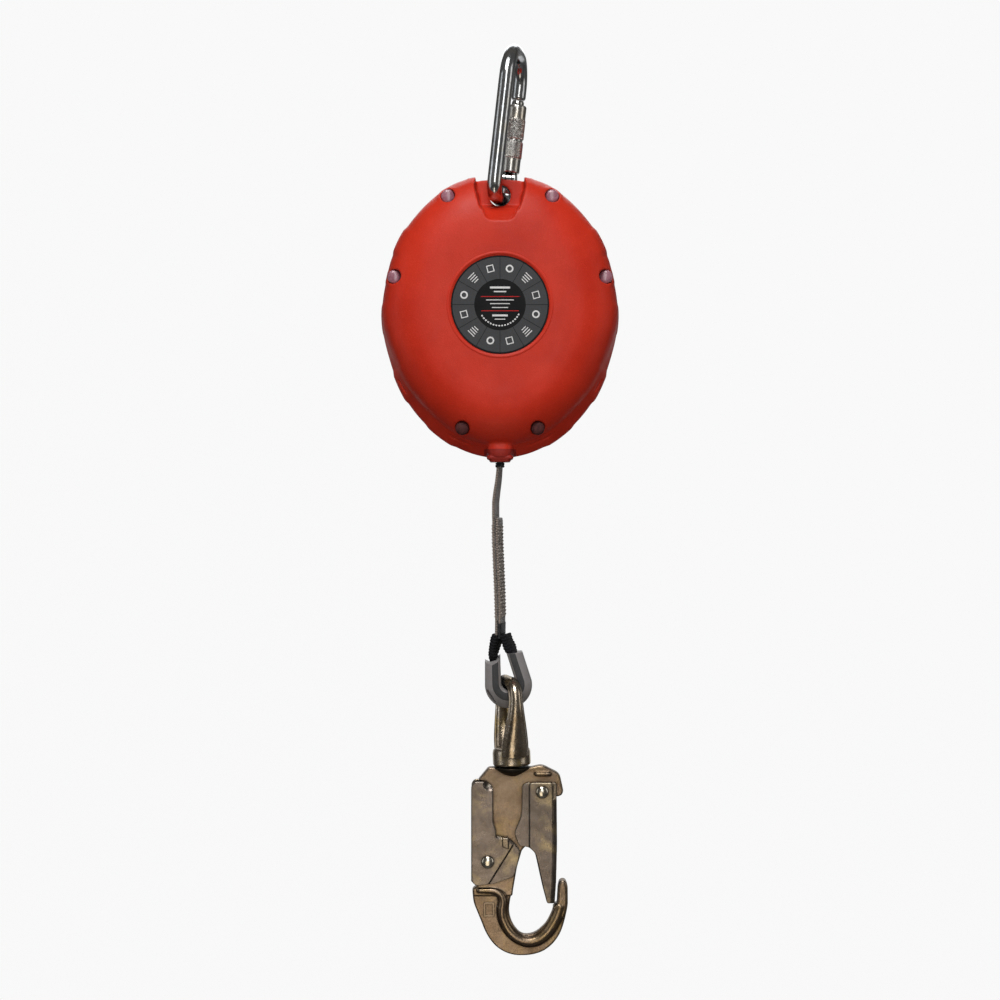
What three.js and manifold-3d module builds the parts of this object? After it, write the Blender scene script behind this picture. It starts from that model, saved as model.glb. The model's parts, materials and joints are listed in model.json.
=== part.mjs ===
// Self retracting lifeline: anchor connector, two-part case, webbing drum with
// centrifugal pawl brake, sewn webbing end with thimble, and swivel snap hook.
// Units are millimetres, +Z is up, -Y is the labelled front of the case.
// All pieces are laid out about the drum axis (Y) and then moved, as one group, so
// that the origin is on the bearing flat inside the crown of the anchor connector.
import * as THREE from 'three';
import { mergeVertices } from 'three/addons/utils/BufferGeometryUtils.js';
import Module from 'manifold-3d';

const wasm = await Module();
wasm.setup();

// --------------------------------------------------------- shared dimensions
const GAP = 0.3;                 // clearance between neighbouring pieces
const SPLIT = 0.15;              // half of the parting gap of the case and frame

// anchor connector; heights are above its bottom bar
const BAR_R = 4.8;               // round bar radius
const CONN_HALF_W = 23;          // bar centre line to connector centre line
const CONN_TOP = 96.8;           // crown centre line
const CONN_TILT = 6.4;           // lean in the front view, degrees
const CONN_YAW = -11;            // turn about its long axis, degrees
const BOTTOM_BAR_Z = 72.6;       // bottom bar above the drum axis
const BEARING_H = 92.4;          // bearing flat
const HINGE_H = 17.3;            // gate hinge
const NOSE_H = 70.4;             // end of the nose

// suspension eye, above the drum axis
const EYE_Z = 74;
const EYE_R = 7;
const EYE_BUSH_R = 8.4;
const LUG_R = 11;                // rounded top of the load frame
const LUG_HALF_Y = 2.85;

// webbing, drum and shaft
const WEB_HALF = 10;             // half width
const WEB_T = 2.0;               // thickness
const ROLL_R = 42;
const HUB_R = 20;
const SHAFT_R = 6;
const BORE_R = SHAFT_R + GAP;    // bore of the parts that turn on the shaft
const SHAFT_BUSH_R = 8.5;
const LINE_TOP = -84.3;
const LINE_END = -136;

// ------------------------------------------------------------ plane geometry
const radians = (degrees) => degrees * Math.PI / 180;
const both = (half) => [-half, half];
const middle = ([low, high]) => (low + high) / 2;
const polar = (radius, degrees) => [
  radius * Math.cos(radians(degrees)), radius * Math.sin(radians(degrees))];

// the points mirrored in their first coordinate, in reverse order
const mirrored = (points) => points.map(([across, up]) => [-across, up]).reverse();

function arc([across, up], radius, from, to, steps) {
  const points = [];
  for (let i = 0; i <= steps; i++) {
    const [right, rise] = polar(radius, from + (to - from) * i / steps);
    points.push([across + right, up + rise]);
  }
  return points;
}

function direction(from, to) {
  const length = Math.hypot(to[0] - from[0], to[1] - from[1]);
  return [(to[0] - from[0]) / length, (to[1] - from[1]) / length];
}

// parallel offset of an open polyline, to its left
function parallel(path, distance) {
  const last = path.length - 1;
  return path.map((point, i) => {
    const start = Math.max(1, i);
    const end = Math.min(last, i + 1);
    const before = direction(path[start - 1], path[start]);
    const after = direction(path[end - 1], path[end]);
    const normal = direction([0, 0], [-(before[1] + after[1]), before[0] + after[0]]);
    const mitre = 1 / Math.max(0.5, normal[0] * -before[1] + normal[1] * before[0]);
    return point.map((value, axis) => value + normal[axis] * distance * mitre);
  });
}

// -------------------------------------------------------------------- solids
// closed solid from a geometry: welded by position, its faces pointing out
function solid(geometry) {
  for (const name of Object.keys(geometry.attributes)) {
    if (name !== 'position') geometry.deleteAttribute(name);
  }
  const welded = mergeVertices(geometry, 1e-4);
  const { position } = welded.attributes;
  const index = welded.index.array;
  const corner = (vertex) => new THREE.Vector3().fromBufferAttribute(position, vertex);
  const faces = [];
  let volume = 0;
  for (let i = 0; i < index.length; i += 3) {
    const [first, second, third] = index.slice(i, i + 3);
    if (first === second || second === third || first === third) continue;
    faces.push(first, second, third);
    volume += corner(first).dot(corner(second).cross(corner(third))) / 6;
  }
  if (volume < 0) {
    for (let i = 0; i < faces.length; i += 3) {
      [faces[i], faces[i + 1]] = [faces[i + 1], faces[i]];
    }
  }
  return new wasm.Manifold(new wasm.Mesh({
    numProp: 3,
    vertProperties: Float32Array.from(position.array),
    triVerts: Uint32Array.from(faces),
  }));
}

function shapeOf(points, holes = []) {
  const vectors = (list) => list.map((point) => new THREE.Vector2(...point));
  const shape = new THREE.Shape(vectors(points));
  for (const hole of holes) shape.holes.push(new THREE.Path(vectors(hole)));
  return shape;
}

// prism of an X-Z outline between two Y values, with an optional edge chamfer
function prismY(points, [low, high], { holes = [], chamfer = 0 } = {}) {
  return solid(new THREE.ExtrudeGeometry(shapeOf(points, holes), {
    depth: high - low - 2 * chamfer,
    bevelEnabled: chamfer > 0,
    bevelThickness: chamfer,
    bevelSize: chamfer,
    bevelOffset: -chamfer,
    bevelSegments: 1,
  }).rotateX(Math.PI / 2).translate(0, high - chamfer, 0));
}

// prism of a Y-Z outline between two X values
function prismX(points, [low, high]) {
  const axes = new THREE.Matrix4().makeBasis(
    new THREE.Vector3(0, 1, 0), new THREE.Vector3(0, 0, 1), new THREE.Vector3(1, 0, 0));
  return solid(new THREE.ExtrudeGeometry(shapeOf(points), {
    depth: high - low,
    bevelEnabled: false,
  }).applyMatrix4(axes).translate(low, 0, 0));
}

// each argument is [low, high] along X, Y and Z
function box(...spans) {
  const sizes = spans.map(([low, high]) => high - low);
  return solid(new THREE.BoxGeometry(...sizes).translate(...spans.map(middle)));
}

// round rods along each axis; highRadius tapers the +Y or +Z end
const rodGeometry = (radius, [low, high], sides, highRadius = radius) =>
  new THREE.CylinderGeometry(highRadius, radius, high - low, sides);

function rodX(radius, span, [y, z], sides) {
  return solid(rodGeometry(radius, span, sides)
    .rotateZ(Math.PI / 2).translate(middle(span), y, z));
}
function rodY(radius, span, [x, z], sides, highRadius) {
  return solid(rodGeometry(radius, span, sides, highRadius).translate(x, middle(span), z));
}
function rodZ(radius, span, [x, y], sides, highRadius) {
  return solid(rodGeometry(radius, span, sides, highRadius)
    .rotateX(Math.PI / 2).translate(x, y, middle(span)));
}

// revolved profiles of [radius, height] pairs about the Y axis
const latheGeometry = (profile, sides) =>
  new THREE.LatheGeometry(profile.map((point) => new THREE.Vector2(...point)), sides);
const turnY = (profile, sides) => solid(latheGeometry(profile, sides));

function ringY(inner, outer, [low, high], sides) {
  return turnY([[inner, low], [outer, low], [outer, high], [inner, high], [inner, low]], sides);
}

// solid lofted through rings with equal point counts, closed by flat fans
function loft(rings) {
  const count = rings[0].length;
  const positions = rings.flat(2);
  const index = [];
  for (let k = 0; k + 1 < rings.length; k++) {
    for (let i = 0; i < count; i++) {
      const here = k * count + i;
      const next = k * count + (i + 1) % count;
      index.push(here, next, next + count, here, next + count, here + count);
    }
  }
  for (const k of [0, rings.length - 1]) {
    const centre = positions.length / 3;
    for (let axis = 0; axis < 3; axis++) {
      positions.push(rings[k].reduce((sum, point) => sum + point[axis] / count, 0));
    }
    for (let i = 0; i < count; i++) {
      const here = k * count + i;
      const next = k * count + (i + 1) % count;
      index.push(centre, ...(k === 0 ? [next, here] : [here, next]));
    }
  }
  const geometry = new THREE.BufferGeometry();
  geometry.setAttribute('position', new THREE.Float32BufferAttribute(positions, 3));
  geometry.setIndex(index);
  return solid(geometry);
}

// round bar along a path in (Y, Z), with flats rather than corners on the X axis
function barYZ(path, radius, sides) {
  return loft(path.map(([y, z], i) => {
    const [alongY, alongZ] = direction(
      path[Math.max(0, i - 1)], path[Math.min(path.length - 1, i + 1)]);
    return Array.from({ length: sides }, (_, k) => {
      const [across, out] = polar(radius, 360 * (k + 0.5) / sides);
      return [out, y - alongZ * across, z + alongY * across];
    });
  }));
}

// square-section wire coiled about a Y axis
function coilY({ centre: [x, z], radius, wireRadius, span, start, sweep, steps }) {
  const points = [];
  for (let k = 0; k <= steps; k++) {
    const [right, rise] = polar(radius, start + sweep * k / steps);
    const y = span[0] + (span[1] - span[0]) * k / steps;
    points.push(new THREE.Vector3(x + right, y, z + rise));
  }
  return solid(new THREE.ExtrudeGeometry(shapeOf(arc([0, 0], wireRadius, 0, 270, 3)), {
    steps,
    extrudePath: new THREE.CatmullRomCurve3(points),
  }));
}

// ----------------------------------------------------- finishes and the groups
const finishes = {
  red: { color: 0xc0382a, roughness: 0.55, metalness: 0 },
  label: { color: 0x4b4c4e, roughness: 0.5, metalness: 0 },
  cap: { color: 0xb86a80, roughness: 0.35, metalness: 0 },
  steel: { color: 0xb9bcc0, roughness: 0.25, metalness: 1 },
  zinc: { color: 0xa8977a, roughness: 0.38, metalness: 1 },
  grey: { color: 0x9a969b, roughness: 0.6, metalness: 0 },
  web: { color: 0x8d8983, roughness: 0.9, metalness: 0 },
  knit: { color: 0x1c1b1f, roughness: 0.95, metalness: 0 },
  brass: { color: 0xb08d4a, roughness: 0.35, metalness: 1 },
  friction: { color: 0x5a4a3c, roughness: 0.9, metalness: 0 },
  alu: { color: 0xc4c7ca, roughness: 0.4, metalness: 1 },
  spring: { color: 0x6f7a86, roughness: 0.35, metalness: 1 },
};

function piece(parent, name, manifold, finish) {
  const { vertProperties, triVerts } = manifold.getMesh();
  const geometry = new THREE.BufferGeometry();
  geometry.setAttribute('position',
    new THREE.BufferAttribute(Float32Array.from(vertProperties), 3));
  geometry.setIndex(Array.from(triVerts));
  const mesh = new THREE.Mesh(geometry, new THREE.MeshStandardMaterial(finishes[finish]));
  mesh.name = name;
  parent.add(mesh);
}

const group = new THREE.Group();
const layout = new THREE.Group();
layout.position.set(
  -BEARING_H * Math.sin(radians(CONN_TILT)), 0,
  -(BOTTOM_BAR_Z + BEARING_H * Math.cos(radians(CONN_TILT))));
group.add(layout);

// ---------------------------------------------------------- anchor connector
// local frame: Y across the connector (gate on +Y), Z along it, X its normal
const HINGE = [CONN_HALF_W, HINGE_H];      // Y, Z
const GATE_AXIS = [0, CONN_HALF_W];        // X, Y
const HINGE_HOLE_R = 1.9;
const TANG_R = 4.4;
const TANG_HALF = 2;                       // half thickness of the hinge tang
const connector = new THREE.Group();
connector.rotation.z = radians(CONN_YAW);
{
  const connectorTilt = new THREE.Group();
  connectorTilt.position.set(0, 0, BOTTOM_BAR_Z);
  connectorTilt.rotation.y = radians(CONN_TILT);
  connectorTilt.add(connector);
  layout.add(connectorTilt);
}

function anchorFrame() {
  const crownR = 20;
  const crownX = CONN_HALF_W - crownR;
  const crownZ = CONN_TOP - crownR;
  const backCornerR = 9;
  const hingeCornerR = 7;
  const path = [
    [CONN_HALF_W, NOSE_H],
    ...arc([crownX, crownZ], crownR, 0, 90, 6),
    ...arc([-crownX, crownZ], crownR, 90, 180, 6),
    [-CONN_HALF_W, 42],
    ...arc([backCornerR - CONN_HALF_W, backCornerR], backCornerR, 180, 270, 5),
    ...arc([CONN_HALF_W - hingeCornerR, hingeCornerR], hingeCornerR, 270, 360, 4),
    HINGE,
  ];
  const aroundGate = [CONN_HALF_W - 8, CONN_HALF_W + 8];
  const aboveTang = box(both(8), aroundGate, [HINGE_H, HINGE_H + 1])
    .subtract(rodX(TANG_R, both(9), HINGE, 20));
  return barYZ(path, BAR_R, 10)
    .add(rodX(TANG_R, both(TANG_HALF), HINGE, 20))
    // thin the bar to the tang on both faces
    .subtract(rodX(5.2, [TANG_HALF, 8], HINGE, 20))
    .subtract(rodX(5.2, [-8, -TANG_HALF], HINGE, 20))
    .subtract(aboveTang)
    .subtract(rodX(HINGE_HOLE_R, both(8), HINGE, 16))
    .subtract(box(both(6), both(6), [BEARING_H - 3, BEARING_H]));
}

// the gate straddles the tang with a fork and ends in a narrower tip
function anchorGate() {
  const aroundGate = [CONN_HALF_W - 9, CONN_HALF_W + 9];
  return rodZ(BAR_R, [HINGE_H, NOSE_H - 4.5], GATE_AXIS, 20)
    .add(rodZ(3.6, [NOSE_H - 5, NOSE_H - 0.5], GATE_AXIS, 20))
    .add(rodX(BAR_R, both(4.2), HINGE, 20))
    .intersect(rodZ(BAR_R, [0, 80], GATE_AXIS, 20))
    .subtract(box(both(2.35), aroundGate, [0, HINGE_H + 5.1]))
    .subtract(rodX(HINGE_HOLE_R, both(8), HINGE, 16));
}

function anchorSleeve() {
  const inner = BAR_R + GAP;
  const outer = 6.5;
  const rim = 6.0;
  const groove = 5.9;
  const bottom = 21.4;
  const top = 66.7;
  const profile = [
    [inner, bottom], [rim, bottom], [outer, bottom + 0.8],
    [outer, 42.4], [groove, 42.8], [groove, 43.8], [outer, 44.2],
    [outer, top - 0.8], [rim, top], [inner, top], [inner, bottom],
  ];
  return solid(latheGeometry(profile, 18).rotateX(Math.PI / 2).translate(0, CONN_HALF_W, 0));
}

piece(connector, 'anchor_connector_frame', anchorFrame(), 'steel');
piece(connector, 'anchor_gate', anchorGate(), 'steel');
piece(connector, 'anchor_lock_sleeve', anchorSleeve(), 'steel');
piece(connector, 'anchor_gate_rivet', rodX(1.6, both(4.9), HINGE, 12), 'steel');

// ---------------------------------------------------------------------- case
const CASE_Y = 30;               // half depth
const CASE_CENTRE_Z = -5.9;      // centre of the outline
const CASE_TOP = 86.5;           // flat that cuts off the top of the outline
const CASE_SIDES = 44;
const WALL = 3;
const LABEL_R = 31.7;
const LABEL_DEPTH = 0.6;         // sunk behind the front face
// outline radius from straight up (0) to straight down (180), every 10 degrees
const OUTLINE = [
  94.6, 94.6, 93.7, 90.6, 87.6, 85.0, 82.2, 79.7, 78.7, 78.4,
  78.1, 78.3, 79.9, 82.3, 84.8, 87.4, 90.1, 92.1, 92.9];
// shell profiles: scale of the outline, distance from the parting plane;
// the cavities run past the parting plane
const FRONT_OUT = [
  [0.60, CASE_Y], [0.70, 29.2], [0.79, 26.9], [0.87, 23.2], [0.945, 17.3], [1.0, 6],
  [1.0, SPLIT]];
const REAR_OUT = [
  [0.66, CASE_Y], [0.80, 28.5], [0.92, 23.5], [0.985, 15], [1.0, 8], [1.0, SPLIT]];
const FRONT_IN = [
  [0.60, 27], [0.70, 26.2], [0.83, 21.2], [0.905, 15.2], [0.96, 5.2], [0.96, SPLIT - 1]];
const REAR_IN = [[0.66, 27], [0.79, 25.4], [0.90, 20.3], [0.96, 7.6], [0.96, SPLIT - 1]];
// left and right screws of each row: x, z, distance of the head from the parting plane
const SCREWS = [[34, 72, 11.3], [69, 19.5, 11.3], [24.6, -79.3, 15.3]]
  .flatMap(([x, z, head]) => [-x, x].map((place) => ({ at: [place, z], head })));

// Catmull-Rom through the outline table, at degrees from straight up
function outlineRadius(degrees) {
  const last = OUTLINE.length - 1;
  const station = Math.min(degrees, 360 - degrees) / 10;
  const i = Math.min(last - 1, Math.floor(station));
  const t = station - i;
  const [before, start, end, after] = [i - 1, i, i + 1, i + 2]
    .map((k) => OUTLINE[k > last ? 2 * last - k : Math.abs(k)]);
  return 0.5 * (2 * start + (end - before) * t
    + (2 * before - 5 * start + 4 * end - after) * t * t
    + (3 * start - before - 3 * end + after) * t * t * t);
}

function dome(profile, side) {
  return loft(profile.map(([scale, y]) => Array.from({ length: CASE_SIDES }, (_, i) => {
    const degrees = 360 * i / CASE_SIDES;
    const [up, right] = polar(outlineRadius(degrees) * scale, degrees);
    return [right, side * y, CASE_CENTRE_Z + up];
  })));
}

// recess over the suspension eye, open at the top and at the face of the case;
// it widens and deepens from its back wall to the face
function eyeRecess(side, grow) {
  const backY = 6;
  const backFloor = 66;
  const faceFloor = 53.3;
  const halfWidth = 16 + grow;
  const widening = 19.4 - 16;
  const floor = backFloor - grow;
  const nearY = backY - grow * 0.95;
  const farY = CASE_Y + 4;
  const farHalf = halfWidth + widening * (farY - nearY) / (CASE_Y - nearY);
  const drop = (farY - nearY) * (backFloor - faceFloor) / (CASE_Y - backY);
  const section = (half, y, bottom) =>
    [[-half, bottom], [half, bottom], [half, 100], [-half, 100]].map(([x, z]) => [x, side * y, z]);
  return loft([section(halfWidth, nearY, floor), section(farHalf, farY, floor - drop)]);
}

const aboveCase = (z) => box(both(60), both(40), [z, 120]);

// side is -1 for the front shell and 1 for the rear
function caseShell(side) {
  const front = side < 0;
  const depth = (near, far) => (front ? [-far, -near] : [near, far]);
  let cavity = dome(front ? FRONT_IN : REAR_IN, side)
    .subtract(eyeRecess(side, WALL))
    .subtract(aboveCase(CASE_TOP - WALL));
  // screw bosses
  for (const { at } of SCREWS) cavity = cavity.subtract(rodY(6, depth(-2, 28), at, 12));
  let shell = dome(front ? FRONT_OUT : REAR_OUT, side)
    .subtract(eyeRecess(side, 0))
    .subtract(aboveCase(CASE_TOP))
    .subtract(cavity);
  for (const { at, head } of SCREWS) {
    if (front) shell = shell.subtract(rodY(4.6, depth(head - GAP, 40), at, 16));
    shell = shell.subtract(rodY(2.3, depth(-2, front ? 20 : 11), at, 8));
  }
  shell = shell
    // slot the metal lug stands in, between the two shells
    .subtract(box(both(LUG_R + GAP), both(LUG_HALF_Y + GAP), [60, 100]))
    .subtract(rodY(EYE_BUSH_R + GAP, depth(-2, 12), [0, EYE_Z], 20))
    // opening for the outlet guide
    .subtract(box(both(7.3), both(14.9), [-120, -80]));
  if (!front) return shell;
  return shell.subtract(
    rodY(LABEL_R + GAP, [-CASE_Y - 3, -CASE_Y + LABEL_DEPTH + GAP], [0, 0], 36));
}

const caseScrew = (at, head) => rodY(4.0, [-head - 2.7, -head], at, 10)
  .add(rodY(1.9, [-head - 1, 9.6], at, 8));

function screwCap([x, z], head) {
  return solid(latheGeometry([[0, 0], [4.2, 0], [4.2, 1.6], [2.8, 2.8], [0, 3.4]], 12)
    .rotateX(Math.PI).translate(x, -head - 3.0, z));
}

// rectangular guide the webbing leaves through, with an inner flange on its wide sides
function outletGuide() {
  const top = -85.5;
  return box(both(6.95), both(14.5), [-101, top])
    .add(box(both(10.5), both(13.5), [-88, top]))
    .subtract(box(both(2.6), both(11.4), [-110, -80]));
}

piece(layout, 'front_shell', caseShell(-1), 'red');
piece(layout, 'rear_shell', caseShell(1), 'red');
SCREWS.forEach(({ at, head }, i) => {
  piece(layout, `case_screw_${i + 1}`, caseScrew(at, head), 'steel');
  piece(layout, `screw_cap_${i + 1}`, screwCap(at, head), 'cap');
});
piece(layout, 'label_plate',
  rodY(LABEL_R, [-CASE_Y - 0.1, -CASE_Y + LABEL_DEPTH], [0, 0], 36), 'label');
piece(layout, 'webbing_outlet_guide', outletGuide(), 'red');

// ---------------------------------------------------------------- load frame
const POST_X = 57;
const POST_Z = -6;
const BRAKE_SCREWS = [270, 30, 150].map((degrees) => polar(48.5, degrees));

function framePlate(side) {
  const rightEdge = [
    [13, 60], [36, 42], [52, 8], ...arc([POST_X, POST_Z], 6, 60, -60, 4),
    [50, -24], [34, -46], [14, -55]];
  const edge = [...arc([0, EYE_Z], LUG_R, 180, 0, 8), ...rightEdge, ...mirrored(rightEdge)];
  // side view (Y, Z): flat beside the drum, jogged inwards above it to the suspension eye
  const jog = [
    [16, -60], [16, 49.5], [LUG_HALF_Y, 60.8], [LUG_HALF_Y, 90],
    [SPLIT, 90], [SPLIT, 58.6], [13.5, 47.2], [13.5, -60]];
  const through = side < 0 ? [-30, 0.1] : [-0.1, 30];
  let plate = prismX(jog.map(([y, z]) => [side * y, z]), both(70))
    .intersect(prismY(edge, both(40)))
    .subtract(rodY(EYE_BUSH_R + GAP, through, [0, EYE_Z], 20))
    .subtract(rodY(SHAFT_BUSH_R + GAP, through, [0, 0], 24));
  for (const x of both(POST_X)) plate = plate.subtract(rodY(2.9, through, [x, POST_Z], 12));
  if (side < 0) {
    for (const at of BRAKE_SCREWS) plate = plate.subtract(rodY(2.3, through, at, 10));
  }
  return plate;
}

// post with a shoulder between the plates and a head outside each
function framePost(x) {
  const shoulder = 13.2;
  const neck = 16.3;
  const end = 17.8;
  return turnY([
    [0, -end], [4.2, -end], [4.2, -neck], [2.6, -neck], [2.6, -shoulder], [4, -shoulder],
    [4, shoulder], [2.6, shoulder], [2.6, neck], [4.2, neck], [4.2, end], [0, end],
  ], 8).translate([x, 0, POST_Z]);
}

piece(layout, 'frame_plate_front', framePlate(-1), 'alu');
piece(layout, 'frame_plate_rear', framePlate(1), 'alu');
piece(layout, 'eye_bush', ringY(EYE_R, EYE_BUSH_R, both(6), 20).translate([0, 0, EYE_Z]), 'steel');
piece(layout, 'frame_post_left', framePost(-POST_X), 'steel');
piece(layout, 'frame_post_right', framePost(POST_X), 'steel');

// ------------------------------------------------------------ drum and shaft
const HUB_HALF = WEB_HALF + GAP;
const FLANGE_IN = HUB_HALF + GAP;    // inner face of the drum flanges
const FLANGE_OUT = FLANGE_IN + 1.5;

// shaft with chamfered ends and a slot across its rear end
function mainShaft() {
  const endR = 5.4;
  return turnY([
    [0, -22.4], [endR, -22.4], [SHAFT_R, -21.8], [SHAFT_R, 23], [endR, 23.6], [0, 23.6],
  ], 16).subtract(box(both(0.8), [17, 30], both(20)));
}

// bush with a flange on the drum side of the frame plate
function shaftBush(side) {
  const bore = SHAFT_R + 0.25;
  const flangeR = 10.5;
  return turnY([
    [bore, 12.7], [flangeR, 12.7], [flangeR, 13.2], [SHAFT_BUSH_R, 13.2], [SHAFT_BUSH_R, 16],
    [bore, 16], [bore, 12.7],
  ].map(([radius, y]) => [radius, side * y]), 18);
}

// hub with a slot that holds the sewn inner end of the webbing
const drumHub = () => ringY(BORE_R, HUB_R, both(HUB_HALF), 24)
  .subtract(box([8.5, 30], both(20), both(1.4)));

function drumFlange(span) {
  let flange = ringY(BORE_R, 46, span, 30);
  for (let k = 0; k < 5; k++) {
    flange = flange.subtract(rodY(7, both(20), polar(31, 72 * k + 36), 8));
  }
  return flange;
}

// webbing between the roll and the outlet guide, tangent to the roll
function webbingLead() {
  const reach = 84.6;              // meets the centre line this far below the drum axis
  const tangentR = ROLL_R + 1.5;
  const halfThick = WEB_T / 2 - 0.1;
  const angle = Math.asin(tangentR / reach);
  const path = [[tangentR * Math.cos(angle), -tangentR * Math.sin(angle)], [0, -reach]];
  return prismY([...parallel(path, halfThick), ...parallel(path, -halfThick).reverse()],
    both(WEB_HALF)).subtract(box(both(20), both(20), [-100, LINE_TOP + GAP]));
}

piece(layout, 'main_shaft', mainShaft(), 'steel');
piece(layout, 'shaft_bush_front', shaftBush(-1), 'brass');
piece(layout, 'shaft_bush_rear', shaftBush(1), 'brass');
piece(layout, 'drum_hub', drumHub(), 'alu');
piece(layout, 'drum_flange_front', drumFlange([-FLANGE_OUT, -FLANGE_IN]), 'alu');
piece(layout, 'drum_flange_rear', drumFlange([FLANGE_IN, FLANGE_OUT]), 'alu');
piece(layout, 'webbing_roll', ringY(HUB_R + GAP, ROLL_R, both(WEB_HALF), 28), 'web');
piece(layout, 'webbing_lead', webbingLead(), 'web');

// ---------------------------------------------------------------- pawl brake
const PAWL_PIVOT = 20;               // pawl pivots to the drum axis
const FRICTION_IN = 35.5;            // radii of the friction discs
const FRICTION_OUT = 44;
// pawl outline about its pivot: x, z
const PAWL = [
  ...arc([0, 0], 4.6, 180, 300, 4), [4.6, -1], [5.2, 6], [4.4, 14], [4.6, 21],
  [2.2, 24.2], [-1.6, 21.5], [-1.8, 12], [-4.2, 5]];
// one ratchet tooth: radius, degrees from the tooth's place
const TOOTH = [[41, -5.5], [35, -3.5], [35, 3.5], [41, 5.5], [41, 15]];

function pawlCarrier() {
  let carrier = ringY(BORE_R, 27, [-18.4, -16.6], 24);
  for (const x of both(PAWL_PIVOT)) carrier = carrier.add(rodY(2.4, [-22.6, -17], [x, 0], 14));
  return carrier;
}

// the pawl on the -X side is the other turned half a turn about the shaft
function pawl(side) {
  return prismY(PAWL.map(([x, z]) => [side * (PAWL_PIVOT + x), side * z]), [-21.2, -18.7])
    .subtract(rodY(2.7, [-30, -10], [side * PAWL_PIVOT, 0], 14));
}

const pawlSpring = (side) => coilY({
  centre: [side * PAWL_PIVOT, 0],
  radius: 3.3,
  wireRadius: 0.4,
  span: [-21.9, -23.2],
  start: side > 0 ? 180 : 0,
  sweep: 540,
  steps: 12,
});

function ratchetRing() {
  const inner = [];
  for (let k = 0; k < 12; k++) {
    for (const [radius, degrees] of TOOTH) inner.push(polar(radius, 52 + 30 * k + degrees));
  }
  return prismY(arc([0, 0], 45, 0, 350, 35), [-21.2, -18.2], { holes: [inner] });
}

// ring with three ears, each with a countersunk seat for its screw
function pressurePlate() {
  const span = [-25.5, -23.4];
  let plate = ringY(34, 46, span, 24);
  for (const at of BRAKE_SCREWS) plate = plate.add(rodY(4.6, span, at, 12));
  for (const at of BRAKE_SCREWS) {
    plate = plate.subtract(rodY(2.2, [-30, -20], at, 10))
      .subtract(rodY(3.3, [-30, -24.4], at, 10));
  }
  return plate;
}

const brakeScrew = (at) => rodY(3.0, [-25.5, -24.7], at, 10)
  .add(rodY(1.9, [-25, -13.2], at, 10));

piece(layout, 'pawl_carrier', pawlCarrier(), 'steel');
for (const [number, side] of [[1, 1], [2, -1]]) {
  piece(layout, `pawl_${number}`, pawl(side), 'steel');
  piece(layout, `pawl_spring_${number}`, pawlSpring(side), 'spring');
}
piece(layout, 'ratchet_ring', ratchetRing(), 'steel');
piece(layout, 'friction_disc_inner',
  ringY(FRICTION_IN, FRICTION_OUT, [-17.9, -16.4], 24), 'friction');
piece(layout, 'friction_disc_outer',
  ringY(FRICTION_IN, FRICTION_OUT, [-23.1, -21.5], 24), 'friction');
piece(layout, 'pressure_plate', pressurePlate(), 'steel');
BRAKE_SCREWS.forEach((at, i) =>
  piece(layout, `brake_screw_${i + 1}`, brakeScrew(at), 'steel'));

// -------------------------------------------------------------- power spring
// cup, open towards the drum: radius, y
const SPRING_CASE = [
  [44.8, 16.3], [46, 16.3], [46, 25.5], [8, 25.5], [8, 24.3], [44.8, 24.3], [44.8, 16.3]];

// flat strip wound in a spiral
function powerSpring() {
  const turns = 6;
  const stepsPerTurn = 10;
  const steps = turns * stepsPerTurn;
  const innerR = 8.3;
  const outerR = 43.2;
  const spiral = (shift) => Array.from({ length: steps + 1 }, (_, k) =>
    polar(innerR + (outerR - innerR) * k / steps + shift, 360 * k / stepsPerTurn));
  return prismY([...spiral(0.6), ...spiral(-0.6).reverse()], [17.2, 23.4]);
}

piece(layout, 'spring_case', turnY(SPRING_CASE, 26), 'steel');
piece(layout, 'power_spring', powerSpring(), 'spring');

// ------------------------------------------------------- webbing and its end
const THIMBLE = { x: 5.6, z: -247.3, outerR: 15.5, webR: 10.4, half: 12.9 };
const SEAT = { z: -245.7, r: 4.85 };     // rounded bottom of the thimble's eye
// centre line of the webbing round the thimble, in (X, Z), from the left leg to the right
const LOOP = [
  [-0.9, -216.5], [-3.6, -226], [THIMBLE.x - THIMBLE.webR, -233],
  ...arc([THIMBLE.x, THIMBLE.z], THIMBLE.webR, 180, 366, 12),
  [9.4, -227.5], [3.6, -219.5], [1.1, -216.5]];

// band of a given half width and half thickness along the loop, closed at the top
function strap(half, halfThick, top) {
  const inner = parallel(LOOP, halfThick);
  const outer = parallel(LOOP, -halfThick);
  // the crotch between the two legs is closed where the inner sides meet
  const crotch = [0.1, -217.6 - halfThick * 1.2];
  const outline = [[outer[0][0] - 0.2, top], ...outer, [outer.at(-1)[0] + 0.2, top]];
  return prismY(outline, both(half), { holes: [[crotch, ...inner.slice(1, -1)]] });
}

function webbingEnd() {
  const stitched = box(both(2.1), both(WEB_HALF), [-213.5, LINE_END - GAP])
    .rotate([0, 0, -10]).translate([0.1, 0, 0]);
  return strap(WEB_HALF, WEB_T / 2, -212).add(stitched);
}

const wearSleeve = () => strap(WEB_HALF + 1.0, WEB_T / 2 + 1.0, -212)
  .subtract(box(both(20), both(20), [-217.4, -200]))
  .subtract(strap(WEB_HALF + GAP, WEB_T / 2 + GAP, -205));

// bottom and sides of the thimble's eye, widened by grow
const seatOutline = (grow) => [
  [10.4 + grow, SEAT.z],
  ...arc([THIMBLE.x, SEAT.z], SEAT.r + grow, -15, -165, 8),
  [THIMBLE.x - SEAT.r - grow, SEAT.z]];

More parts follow.
